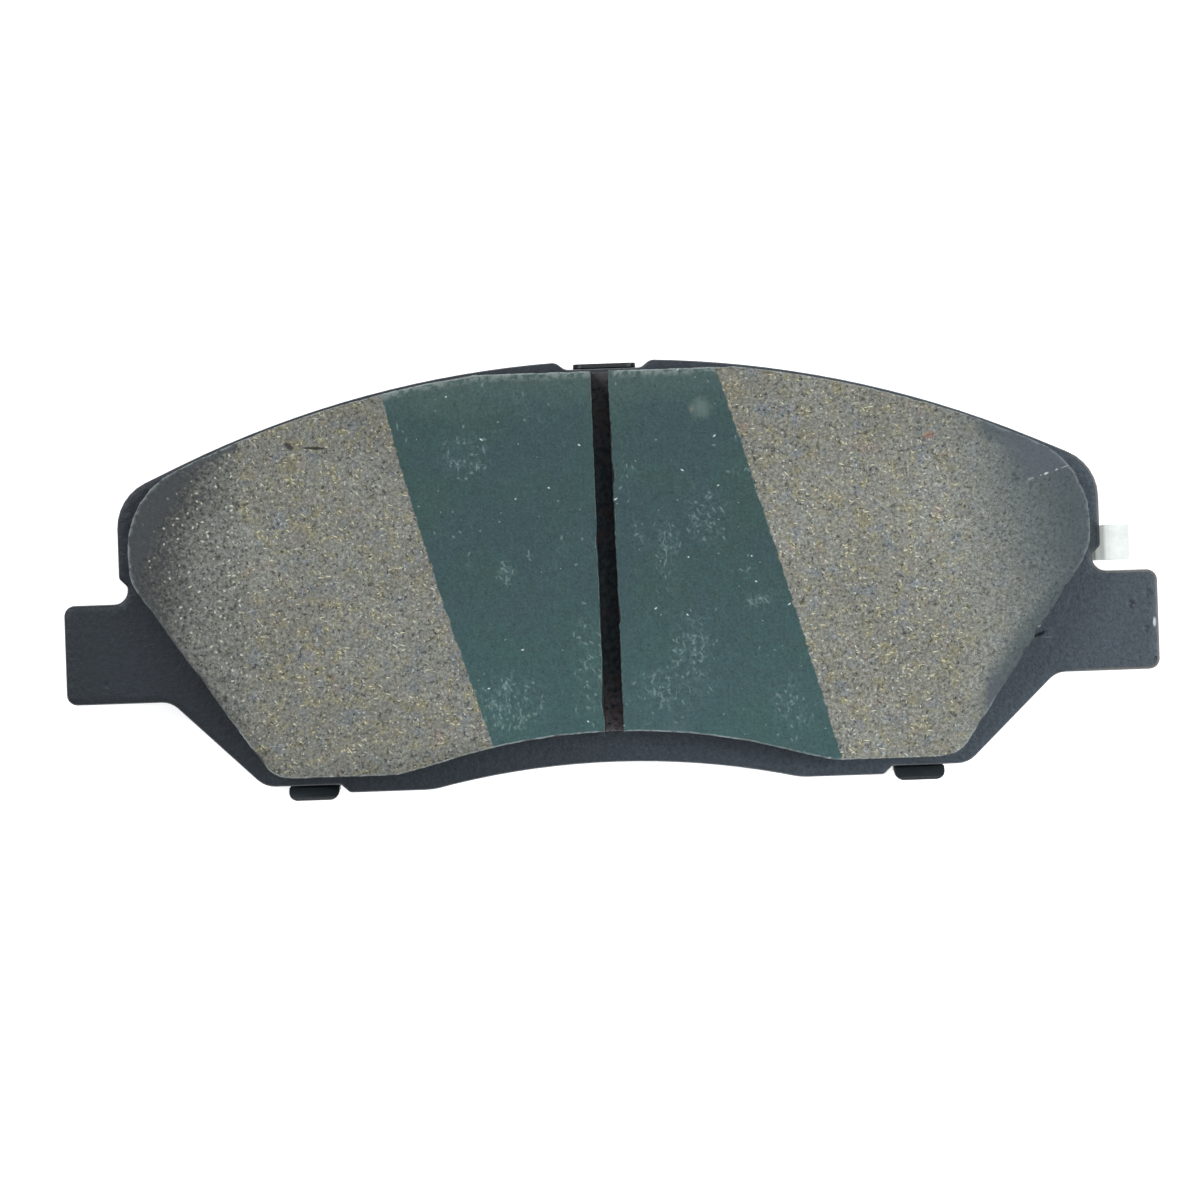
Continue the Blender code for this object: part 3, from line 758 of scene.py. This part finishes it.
def left_end(graph, colour, grain, from_edge, drift):
    """The left block's chamfer: cooler, with coarse dark and pale grains, and darker
    outwards."""
    out = sub(mul(drift, 3.0), graph.x)
    chamfer = ramp(out, 53.4, 55.8)
    clumps = graph.noise(1.5, 2.0, 0.6, shift=157.0)
    cool = scaled(srgb(112, 114, 109), mul(grain, contrast(clumps, 1.7)))
    colour = over(colour, cool, chamfer, 0.75)
    lean = add(out, mul(graph.height, 0.10), mul(ramp(graph.height, 5.0, 14.0), 3.0))
    dusk = ramp(lean, 57.5, 70.5)
    low_edge = mul(ramp(from_edge, 3.5, 0.5), ramp(graph.height, 2.0, -6.0))
    darker = most(dusk, mul(low_edge, 0.55))
    colour = scaled(colour, linear(darker, -0.36, 1.0))
    slate = dithered(graph, mul(dusk, 0.80), 155.0)
    tone = scaled(SLATE[-1], add(0.60, mul(grain, 0.40)))
    colour = over(colour, tone, slate, 0.80)
    busy = add(chamfer, mul(chamfer, ramp(out, 59.5, 56.0)))
    pepper, _ = graph.grains(1.5, 0.26, 0.15, 6.0, mul(busy, 0.15), 151.0, 0.0, 0.7)
    colour = over(colour, srgb(46, 50, 52), pepper, 0.75)
    salt = mul(busy, ramp(from_edge, 0.8, 3.0))
    glint, tint = graph.grains(1.35, 0.20, 0.15, 6.0, mul(salt, 0.14), shift=121.0)
    glint_colour = mix(tint, srgb(160, 160, 146), srgb(206, 206, 190))
    return over(colour, glint_colour, glint, 0.85)


def right_end(graph, colour, grain, from_edge, drift):
    """The right block's chamfer: the compound fades into smooth slate outwards, faster
    at its top, with a faint pale line where the chamfer starts."""
    out = add(graph.x, mul(drift, 3.0))
    lean = add(out, linear(graph.height, 0.22, -0.9))
    cooler = scaled(srgb(132, 135, 129), grain)
    colour = over(colour, cooler, ramp(out, 48.0, 58.0), 0.55)
    near_edge = mul(ramp(from_edge, 5.6, 0.8), 0.95)
    rim = mul(near_edge, ramp(graph.x, 52.0, 57.0))
    slate = most(ramp(lean, 48.5, 70.5), rim)
    tone = scaled(SLATE[1], add(0.72, mul(grain, 0.28)))
    colour = over(colour, tone, slate, 0.96)
    from_start = worked("ABSOLUTE", sub(graph.x, CHAMFER_START_X))
    span = mul(ramp(graph.height, -10.0, -4.0), ramp(graph.height, 20.0, 17.0))
    broken = graph.clouds(0.35, 0.65, 0.6, 3.0, 0.6, shift=161.0)
    return over(colour, srgb(142, 148, 150), ramp(from_start, 0.6, 0.05), span, broken,
                0.30)


def worn_and_lit_rim(graph, colour, from_edge, stripe, corner):
    """The pale, broken line along the face's edge, partly its worn raw edge and partly a
    painted highlight: clear round the stripe's outer ends, corner says how clear round the
    upper corner, faint elsewhere. Outside the stripe on the lower part of each end, the
    line is darkened with painted shade."""
    bare = inverse(stripe)
    dashes = graph.clouds(0.34, 0.56, 0.9, 3.0, 0.6, shift=60.0)
    at_slot = ramp(from_edge, 0.3, 0.8)
    painted = mul(stripe, sub(0.55, mul(at_slot, 0.38)))
    upper = mul(ramp(graph.height, -5.0, 1.0), bare, corner)
    amount = mul(dashes, add(0.06, painted, upper))
    line = mul(graph.attribute("rim"), ramp(graph.up(), 0.985, 0.86))
    bottom = ramp(graph.height, -19.0, -23.0)
    shaded_low_edge = mul(ramp(graph.height, 1.0, -5.0), bare, inverse(bottom))
    # Painted shade: the edge line is darkened on the lower part of each end, outside the
    # stripe and above the bottom edge.
    colour = over(colour, srgb(58, 63, 66), line, shaded_low_edge, 0.45)
    # Worn raw edge and painted highlight: the pale broken line, clearest round the stripe's
    # ends and the upper corner.
    colour = over(colour, srgb(150, 160, 163), line, amount)
    patchy = graph.clouds(0.42, 0.58, 0.8, 4.0, 0.75, shift=63.0)
    top = ramp(graph.height, 14.0, 22.0)
    facing = ramp(graph.up(), 0.45, 0.80)
    colour = over(colour, srgb(132, 142, 138), ramp(from_edge, 1.6, 0.4), top, stripe,
                  patchy, facing, 0.65)
    # Worn raw edge and painted highlight: a thin pale line along the bottom edge and the
    # stripe's top edge.
    long_edge = most(bottom, mul(top, stripe))
    return over(colour, srgb(146, 156, 158), ramp(from_edge, 0.46, 0.20), long_edge,
                facing, add(0.35, mul(dashes, 0.65)), 0.70)


def friction_material(name, side):
    """One block's ground face, with its darker end, paint and corner coat, and its moulded
    walls, and with painted light: a lighter or darker tone for the whole block, a painted
    highlight and painted shade along the face's edge, and painted shade in the hollow."""
    graph = Graph(name)
    out = mul(graph.x, float(side))
    kept = ramp(out, 58.0, 46.0) if side > 0 else ramp(out, 66.0, 54.0)
    colour, grain, relief = compound_colour(graph, kept)
    # Painted light: the right block's compound is made lighter and the left one's darker;
    # both also darken towards the top.
    upper = ramp(graph.height, 8.0, 26.0)
    colour = scaled(colour, linear(upper, -0.11, SIDE_LIGHT_TONE[side]))
    from_edge = graph.attribute("edge_distance")
    drift = sub(graph.noise(0.25, 4.0, 0.6, shift=45.0), 0.5)
    waver = mul(sub(graph.noise(0.55, 4.0, 0.7, shift=8.0), 0.5), 5.0)
    shade_end = right_end if side > 0 else left_end
    colour = marked(graph, shade_end(graph, colour, grain, from_edge, drift))
    stripe = stripe_mask(graph)
    colour = over(colour, paint_colour(graph), stripe, 0.96)
    if side > 0:
        coat = right_coat(graph, waver)
    else:
        coat = left_coat(graph, add(from_edge, waver))
    mottle = graph.noise(2.6, 3.0, 0.6, shift=28.0)
    coat_grain = add(0.55, mul(grain, 0.20), mul(mottle, 0.5))
    colour = over(colour, scaled(COAT[side], coat_grain), coat, 0.88)
    if side > 0:
        colour = crease_line(graph, colour)
    wall = ramp(graph.up(), 0.80, 0.45)
    mould = graph.noise(0.8, 4.0, 0.65, shift=51.0)
    wall_colour = mix(ramp(mould, 0.35, 0.75), srgb(44, 45, 47), srgb(72, 72, 70))
    below_rim = inverse(graph.attribute("rim"))
    colour = over(colour, wall_colour, wall, below_rim)
    # The worn edge with its painted highlight and painted shade; the left block's upper
    # corner gets more highlight.
    colour = worn_and_lit_rim(graph, colour, from_edge, stripe, 0.50 if side < 0 else 0.30)
    # Painted shade: the hollow below the broken crumb, near-black on the block.
    colour = over(colour, HOLLOW_SHADE_COLOUR, hollow_shade(graph), 0.95)
    smooth = most(stripe, coat)
    graph.set(base_color=colour, roughness=sub(0.86, mul(smooth, 0.22)))
    graph.set(specular_IOR_level=0.35)
    rough = add(1.0, mul(smooth, -0.6))
    graph.bump(add(mul(relief, rough), mul(wall, mould, 0.25)))
    return graph.material


# ---- metal, rubber and bond materials -----------------------------------------------

# Dents in the plate's front, bumped in and darkened with painted shade: x, height above the
# middle of the ears, radius and depth.
DENTS = (
    (78.0, 2.4, 0.45, 0.22),
    (80.6, 4.0, 0.55, 0.16),
    (80.2, -1.4, 0.40, 0.16),
    (81.4, -5.9, 0.25, 0.16),
    (-76.2, -4.6, 0.40, 0.06),
)

# A nick in the right ear's edge and a pale streak under the hollow: x, height, half
# length and half width.
NICK = (81.42, EAR_HEIGHT - 0.45, 0.27, 0.85)
STREAK = (65.4, -12.4, 0.9, 0.13)


def coated_steel():
    """Satin black powder coat: fine orange peel and shear marks on the stamped edges,
    painted light that makes it lighter towards the right end and the bottom, worn round the
    right ear with a painted highlight on its rolled edge, and painted shade in its dents
    and in the hollow."""
    graph = Graph("coated_steel")
    peel = graph.noise(1.1, 3.0, 0.55)
    grain = graph.noise(3.6, 2.0, 0.6, shift=6.0)
    mottle = graph.noise(2.1, 2.0, 0.6, shift=39.0)
    colour = mix(graph.clouds(0.3, 0.7, 0.05, shift=15.0), (0.0090, 0.0105, 0.0130, 1.0),
                 (0.0120, 0.0135, 0.0175, 1.0))
    # Painted light: the coat is made lighter towards the right end and the bottom of the
    # plate.
    painted_side_light = add(mul(ramp(graph.x, -45.0, 60.0), 0.85),
                 mul(ramp(graph.y, -15.0, -28.0), 0.22))
    colour = mix(painted_side_light, colour, (0.0500, 0.0610, 0.0735, 1.0))
    colour = scaled(colour, mul(contrast(grain, 1.1), contrast(mottle, 1.5)))
    nick = add(graph.from_spot(*NICK), mul(grain, 0.8))
    colour = over(colour, srgb(188, 194, 196), ramp(nick, 1.5, 0.9))
    dent_depth_and_shade = 0.0
    for x, height, radius, depth in DENTS:
        away = graph.from_spot(x, EAR_HEIGHT + height, radius, radius)
        dent_depth_and_shade = add(dent_depth_and_shade, mul(ramp(away, 1.7, 0.0), depth))
    # Painted shade: each dent is darkened in proportion to its depth; the same depths drive
    # the bump below.
    colour = scaled(colour, sub(1.0, mul(dent_depth_and_shade, 2.0)))
    # Painted shade: the hollow below the broken crumb, near-black on the plate, and rougher
    # so that it loses its gloss.
    dark = hollow_shade(graph)
    colour = over(colour, HOLLOW_SHADE_COLOUR, dark, 0.95)
    # Worn edge and painted highlight: the rolled edge round the right ear is made pale.
    rolled = mul(ramp(graph.up(), 0.999, 0.95), ramp(graph.up(), 0.25, 0.50))
    colour = over(colour, srgb(112, 108, 102), rolled, ramp(graph.x, 66.0, 74.0), 0.70)
    streak = ramp(graph.from_spot(*STREAK), 1.2, 0.6)
    colour = over(colour, srgb(104, 112, 116), streak, 0.6)
    graph.set(base_color=colour, specular_tint=(0.78, 0.89, 1.0, 1.0))
    graph.set(roughness=add(0.34, mul(peel, 0.18), mul(dark, 0.50)))
    wall = ramp(graph.up(), 0.70, 0.30)
    lines = vector("MULTIPLY", graph.place, (1.0, 1.0, 0.10))
    shear = graph.noise(2.2, 3.0, 0.6, shift=33.0, place=lines)
    graph.bump(add(mul(peel, 0.080), mul(grain, 0.045), mul(wall, shear, 0.10),
                   mul(dent_depth_and_shade, -1.0)))
    return graph.material


def underlayer_compound():
    """Dull, dark moulded layer, stained brown towards the slot's ends."""
    graph = Graph("underlayer_compound")
    lump = graph.noise(1.2, 4.0, 0.65)
    colour = mix(ramp(lump, 0.35, 0.70), srgb(52, 62, 70), srgb(80, 92, 98))
    from_middle = worked("ABSOLUTE", graph.height)
    in_slot = ramp(worked("ABSOLUTE", sub(graph.x, SLOT_X)), 5.0, 3.0)
    stain = mul(ramp(from_middle, 13.0, 25.0), ramp(lump, 0.3, 0.6), in_slot)
    stain_colour = mix(ramp(graph.height, 0.0, -20.0), srgb(102, 96, 95),
                       srgb(156, 140, 142))
    colour = over(colour, stain_colour, stain, 0.7)
    rust = graph.clouds(0.52, 0.70, 0.35, 3.0, 0.6, shift=37.0)
    colour = over(colour, srgb(104, 74, 66), rust, in_slot, 0.45)
    graph.set(base_color=colour, roughness=0.92)
    graph.bump(mul(lump, 0.12))
    return graph.material


def with_lower_tab_light(graph, colour, lower_tab_light):
    """The colour with painted light: paler on the shim's lower tabs than on its upper one.
    """
    lower = mul(ramp(graph.y, 20.0, 0.0), lower_tab_light)
    return scaled(colour, add(1.0, lower))


def rubber_coat(name, clean, scuffed, lower_tab_light=0.0):
    """Thin black rubber on steel sheet: even, faintly dimpled. The last argument paints
    light on the shim's lower tabs.
    """
    graph = Graph(name)
    dimple = graph.noise(2.6)
    scuff = graph.clouds(0.5, 0.75, 0.16, 4.0, 0.7, shift=12.0)
    colour = with_lower_tab_light(graph, over(clean, scuffed, scuff, 0.5), lower_tab_light)
    graph.set(base_color=scaled(colour, add(0.8, mul(dimple, 0.4))))
    graph.set(roughness=add(0.52, mul(scuff, 0.14)))
    graph.bump(mul(dimple, 0.02))
    return graph.material


def sheared_steel(name, dull, bright, lower_tab_light=0.0):
    """The bare edge of steel sheet, scored across its thickness. The last argument paints
    light on the shim's lower tabs.
    """
    graph = Graph(name)
    lines = vector("MULTIPLY", graph.place, (1.0, 1.0, 0.15))
    score = graph.noise(4.0, 3.0, 0.6, place=lines)
    colour = with_lower_tab_light(graph, mix(score, dull, bright), lower_tab_light)
    graph.set(base_color=colour, metallic=1.0)
    graph.set(roughness=add(0.28, mul(score, 0.22)))
    graph.bump(mul(score, 0.03))
    return graph.material


def adhesive_film():
    graph = Graph("shim_adhesive")
    smear = graph.noise(0.6, 4.0, 0.6)
    colour = mix(smear, srgb(128, 112, 78), srgb(180, 160, 116))
    graph.set(base_color=colour, roughness=add(0.3, mul(smear, 0.3)))
    graph.bump(mul(smear, 0.05))
    return graph.material


def zinc_plate(name, dull, bright, gap_light=0.0):
    """Bright zinc on spring steel: rolled along the strip, with dull clouds. gap_light
    is a glow that keeps a face towards the plate's edge from going black."""
    graph = Graph(name)
    lines = vector("MULTIPLY", graph.place, (0.25, 3.0, 0.25))
    rolled = graph.noise(2.0, 3.0, 0.6, place=lines)
    cloud = graph.noise(0.5, 3.0, 0.6, shift=19.0)
    colour = mix(ramp(cloud, 0.3, 0.7), dull, bright)
    colour = scaled(colour, add(0.93, mul(rolled, 0.12)))
    graph.set(base_color=colour, metallic=0.05)
    if gap_light:
        inward = ramp(graph.normal()[0], -0.10, -0.70)
        graph.set(emission_color=srgb(206, 212, 208))
        graph.set(emission_strength=mul(inward, gap_light))
    graph.set(roughness=add(0.30, mul(cloud, 0.18)))
    graph.bump(mul(rolled, 0.006))
    return graph.material


# ---- the friction blocks ------------------------------------------------------------

# Broken spots along the faces' edges: x, height, radius and depth.
CHIPS = (
    (63.5, -11.6, 0.6, 0.55),
    (70.9, 10.6, 0.6, 0.35),
    (-52.7, -26.6, 1.2, 0.35),
    (-61.4, -14.2, 1.2, 0.35),
    (1.1, 14.0, 1.4, 0.30),
    (1.3, -7.0, 1.0, 0.25),
    (-1.6, 4.0, 1.2, 0.22),
    (-1.4, -20.0, 1.5, 0.28),
)

# Each row up a block's wall: depth below the face, inset, and how much of the edge's
# crumbling it takes. Depths run from the deepest, and the first row is the base. Rows
# less deep than FOLLOWS_FACE keep their depth at the sloping ends too.
WALL_ROWS = (
    (7.3, 0.00, 0.0),
    (6.2, 0.02, 0.1),
    (4.9, 0.03, 0.1),
    (3.7, 0.05, 0.1),
    (2.6, 0.07, 0.1),
    (1.7, 0.08, 0.15),
    (1.0, 0.09, 0.25),
    (0.55, 0.08, 0.45),
    (0.24, 0.07, 0.80),
    (0.09, 0.10, 0.95),
    (0.0, 0.20, 1.05),
)
FOLLOWS_FACE = 1.2
WALL_SPACING = 0.32
FACE_SPACING = 0.55

# How far the ground face lies below the CAD's at least.
FACE_DROP = 0.012

# The right block's lower slope, whose edge is more ragged than the others.
RAGGED_FROM_X = 50.0
RAGGED_BELOW = -3.0
RAGGED_DEPTH = 0.60

# How near the slot's middle a place must be to lie on its walls, with the wear of their
# edges and without it.
SLOT_SIDE = 2.6
SLOT_WALL = 2.2


def face_plane(x):
    """The height of the friction face with its end chamfers."""
    return FRICTION_FACE - max(0.0, abs(x) - CHAMFER_START_X) * CHAMFER_SLOPE


def crumbled(x, y, z):
    """How far the edge of the face has worn back at a place."""
    broad = noise.noise((x * 0.42, y * 0.42, z * 0.25 + 3.0))
    rough = noise.noise((x * 1.5, y * 1.5, z * 0.9))
    fine = noise.noise((x * 3.6, y * 3.6, z * 2.5 + 9.0))
    depth = 0.02 + 0.24 * max(0.0, broad) + 0.12 * abs(rough) + 0.07 * abs(fine)
    height = y - FACE_MIDDLE_Y
    if x > RAGGED_FROM_X and height < RAGGED_BELOW:
        torn = noise.noise((x * 1.1, y * 1.1, 21.0))
        depth += RAGGED_DEPTH * max(0.0, torn) * min(1.0, x - RAGGED_FROM_X)
    for chip_x, chip_height, radius, chip_depth in CHIPS:
        reach = math.hypot(x - chip_x, height - chip_height) / radius
        depth += chip_depth * math.exp(-reach * reach)
    return depth


def face_relief(x, y):
    """The ground face: flat, with shallow pits and torn grains below the plane."""
    pit = noise.noise((x * 0.9, y * 0.9, 4.0))
    tear = noise.noise((x * 2.1, y * 2.1, 8.0))
    drop = 0.22 * max(0.0, pit - 0.28) + 0.05 * max(0.0, tear) + FACE_DROP
    return face_plane(x) - drop


def slot_shift(x, y):
    """How far the right block's slot wall stands out into the slot, most at its top."""
    if not SLOT_X < x < SLOT_X + SLOT_SIDE:
        return 0.0
    top = min(1.0, max(0.0, (y - FACE_MIDDLE_Y + 2.0) / 18.0))
    teeth = noise.noise((x * 0.5, y * 1.7, 12.0))
    return 0.20 + 0.16 * top + 0.10 * teeth


def wall_row(depth, inset, share):
    """One row of a block's wall, as slab() asks for it."""
    def points(_, loop):
        normals = into_material(loop)
        row = []
        for (x, y), (nx, ny) in zip(loop, normals):
            top = face_plane(x)
            z = FRICTION_BASE + (top - FRICTION_BASE) * (1 - depth / WALL_ROWS[0][0])
            if depth < FOLLOWS_FACE:
                z = top - depth - FACE_DROP
            back = inset + share * crumbled(x, y, z)
            shift = slot_shift(x, y) * max(0.0, nx)
            row.append((x + nx * (back - shift), y + ny * (back - shift), z))
        return row
    return points


def friction_block(word, side):
    """The left (-1) or right (1) block. Its float layer "edge_distance" is the distance
    to the outer edge, without the slot's walls."""
    node = "friction_block_" + word
    slot = "friction_compound_" + word
    outline = spaced(rims(node, FRICTION_BASE)[0], WALL_SPACING)
    rows = [wall_row(*row) for row in WALL_ROWS]
    work = slab([outline], rows, FACE_SPACING, face_relief, seed=5 + side)
    distances = work.verts.layers.float.new("edge_distance")
    outer = outline[np.abs(outline[:, 0] - SLOT_X) > SLOT_WALL]
    places = np.array([vert.co.xy[:] for vert in work.verts])
    for vert, distance in zip(work.verts, distance_to(places, outer, 1.0)):
        vert[distances] = distance
    finished(work, node + "_moulded", node, [friction_material(slot, side)])


# ---- the plate and the layers behind it ---------------------------------------------

# Each row up the plate's edge: height above its back face and inset. The lower part is
# the rough fracture that stamping leaves, and the front edge is rolled over.
PLATE_ROWS = (
    (0.00, 0.34),
    (0.10, 0.18),
    (0.28, 0.09),
    (0.90, 0.11),
    (1.60, 0.12),
    (2.20, 0.07),
    (2.60, 0.01),
    (3.60, 0.00),
    (4.70, 0.00),
    (5.15, 0.02),
    (5.38, 0.07),
    (5.54, 0.15),
    (5.65, 0.27),
    (5.70, 0.44),
)
FRACTURE_TOP = 2.4
FRACTURE_ROUGHNESS = 0.10
RIM_SPACING = 0.6
PLATE_SPACING = 0.9

# Shim steel is thinner than this, so a face with another this near behind it is one of
# the sheet's broad sides.
SHEET_LIMIT = 1.0


def plate_row(height, inset):
    """One row of the plate's edge, as slab() asks for it. Its holes' walls are plain."""
    def points(index, loop):
        normals = into_material(loop)
        row = []
        for (x, y), (nx, ny) in zip(loop, normals):
            back = inset
            if index > 0:
                back = 0.0
            elif 0.2 < height < FRACTURE_TOP:
                back += FRACTURE_ROUGHNESS * abs(noise.noise((x * 1.1, y * 1.1, height)))
            row.append((x + nx * back, y + ny * back, PLATE_BACK + height))
        return row
    return points


def backing_plate():
    outline, *holes = rims("backing_plate", PLATE_FRONT)
    loops = [spaced(outline, RIM_SPACING)] + [spaced(hole, PLATE_SPACING) for hole in holes]
    rows = [plate_row(*row) for row in PLATE_ROWS]
    work = slab(loops, rows, PLATE_SPACING, lambda x, y: PLATE_FRONT, seed=2)
    finished(work, "backing_plate_coated", "backing_plate",
             [coated_steel()])


def underlayer():
    """The moulded layer, closed up to the plate below it and the blocks above it."""
    moves = ((UNDERLAYER_TOP, FRICTION_BASE),
             (UNDERLAYER_TOP - UNDERLAYER_THICKNESS, PLATE_FRONT))
    dressed("underlayer", "underlayer_moulded",
            underlayer_compound(), 0.12, moves=moves)


def shim_stack():
    """The three hidden layers of the shim, each closed up to its neighbours."""
    adhesive_low, adhesive_high = box_mm("adhesive_layer")
    inner_low, inner_high = box_mm("inner_shim")
    damping_low, damping_high = box_mm("damping_layer")
    outer_sheet_top = damping_low.z - BOND_GAP

    dressed("adhesive_layer", "adhesive_film", adhesive_film(), 0.0,
            moves=((adhesive_low.z, inner_high.z), (adhesive_high.z, PLATE_BACK)))
    steel = sheared_steel("inner_shim_steel", srgb(128, 131, 134), srgb(206, 208, 210))
    dressed("inner_shim", "inner_shim_sheet", steel, 0.06)
    rubber = rubber_coat("shim_rubber", srgb(26, 27, 29), srgb(42, 43, 44))
    dressed("damping_layer", "damping_rubber", rubber, 0.10,
            moves=((damping_low.z, outer_sheet_top), (damping_high.z, inner_low.z)))


def outer_shim():
    """The coated cover sheet. Its sheared edges are bare steel."""
    work = cleaned("outer_shim")
    work.normal_update()
    tree = BVHTree.FromBMesh(work)
    for face in work.faces:
        below = face.calc_center_median() - face.normal * 0.01
        hit = tree.ray_cast(below, -face.normal, SHEET_LIMIT)
        face.material_index = 0 if hit[0] is not None else 1
    # Painted light: the coat and edge of the lower tabs are made lighter than on the upper
    # tab.
    coat = rubber_coat("outer_shim_coat", srgb(50, 57, 60), srgb(63, 70, 73), lower_tab_light=0.85)
    edge = sheared_steel("outer_shim_edge", srgb(48, 50, 52), srgb(83, 85, 86), lower_tab_light=0.5)
    piece = finished(work, "outer_shim_sheet", "outer_shim",
                     [coat, edge])
    rounded_edges(piece, 0.09, 2)


def wear_indicator():
    """The bent strip and the rivet that holds it."""
    zinc = zinc_plate("indicator_steel", srgb(224, 228, 224), srgb(238, 242, 238), 0.50)
    dressed("wear_indicator", "wear_indicator_strip", zinc, 0.14, 3)
    zinc = zinc_plate("rivet_steel", srgb(178, 182, 184), srgb(214, 218, 218))
    dressed("wear_indicator_rivet", "wear_indicator_rivet_head", zinc,
            0.12, 3)


# ---- studio -------------------------------------------------------------------------

CAMERA_X = -1.610
CAMERA_Y = -3.600
CAMERA_RANGE = 772.0
CAMERA_TURN = math.radians(-1.97)
CAMERA_LENS = 154.4
FLOOR_SIDE = 6000.0
FLOOR_GAP = 0.02


def camera():
    """Looks straight down on the friction face."""
    lens = bpy.data.cameras.new("camera")
    lens.lens = CAMERA_LENS
    lens.sensor_width = 36.0
    lens.clip_start = 0.01
    lens.clip_end = 20.0
    eye = bpy.data.objects.new("camera", lens)
    eye.location = Vector((CAMERA_X, CAMERA_Y, PLATE_FRONT + CAMERA_RANGE)) * MM
    eye.rotation_euler = (0, 0, CAMERA_TURN)
    bpy.context.scene.collection.objects.link(eye)
    bpy.context.scene.camera = eye


def softbox(name, place, size, watts, colour=(1.0, 1.0, 1.0)):
    """A square light that faces the middle of the pad."""
    light = bpy.data.lights.new(name, "AREA")
    light.shape = "SQUARE"
    light.size = size * MM
    light.energy = watts
    light.color = colour
    lamp = bpy.data.objects.new(name, light)
    lamp.location = Vector(place) * MM
    lamp.rotation_euler = (-lamp.location).to_track_quat("-Z", "Y").to_euler()
    bpy.context.scene.collection.objects.link(lamp)


def studio_floor():
    """A plain pale floor just below the pad."""
    graph = Graph("studio_floor")
    paper = graph.noise(0.02, 4.0)
    tone = mix(paper, (0.86, 0.865, 0.87, 1.0), (0.90, 0.90, 0.90, 1.0))
    graph.set(base_color=tone, roughness=0.8)
    graph.set(emission_color=(1.0, 1.0, 1.0, 1.0), emission_strength=0.72)
    work = bmesh.new()
    bmesh.ops.create_grid(work, x_segments=1, y_segments=1, size=FLOOR_SIDE / 2 * MM)
    mesh = bpy.data.meshes.new("studio_floor")
    work.to_mesh(mesh)
    work.free()
    mesh.materials.append(graph.material)
    floor = bpy.data.objects.new("studio_floor", mesh)
    floor.location.z = cad_box[0].z - FLOOR_GAP * MM
    bpy.context.scene.collection.objects.link(floor)


def studio():
    scene = bpy.context.scene
    scene.view_settings.view_transform = "Standard"
    world = bpy.data.worlds.new("studio")
    world.use_nodes = True
    sky = world.node_tree.nodes["Background"]
    sky.inputs["Color"].default_value = (0.97, 0.985, 1.0, 1.0)
    sky.inputs["Strength"].default_value = 0.48
    scene.world = world
    softbox("key_light", (-360.0, 300.0, 560.0), 260.0, 2.0)
    softbox("side_light", (520.0, -50.0, 520.0), 260.0, 1.8)
    softbox("reflector_card", (330.0, 0.0, 790.0), 420.0, 1.2, (0.85, 0.95, 1.0))
    studio_floor()


# ---- build --------------------------------------------------------------------------

camera()
studio()
backing_plate()
underlayer()
friction_block("left", -1)
friction_block("right", 1)
shim_stack()
outer_shim()
wear_indicator()
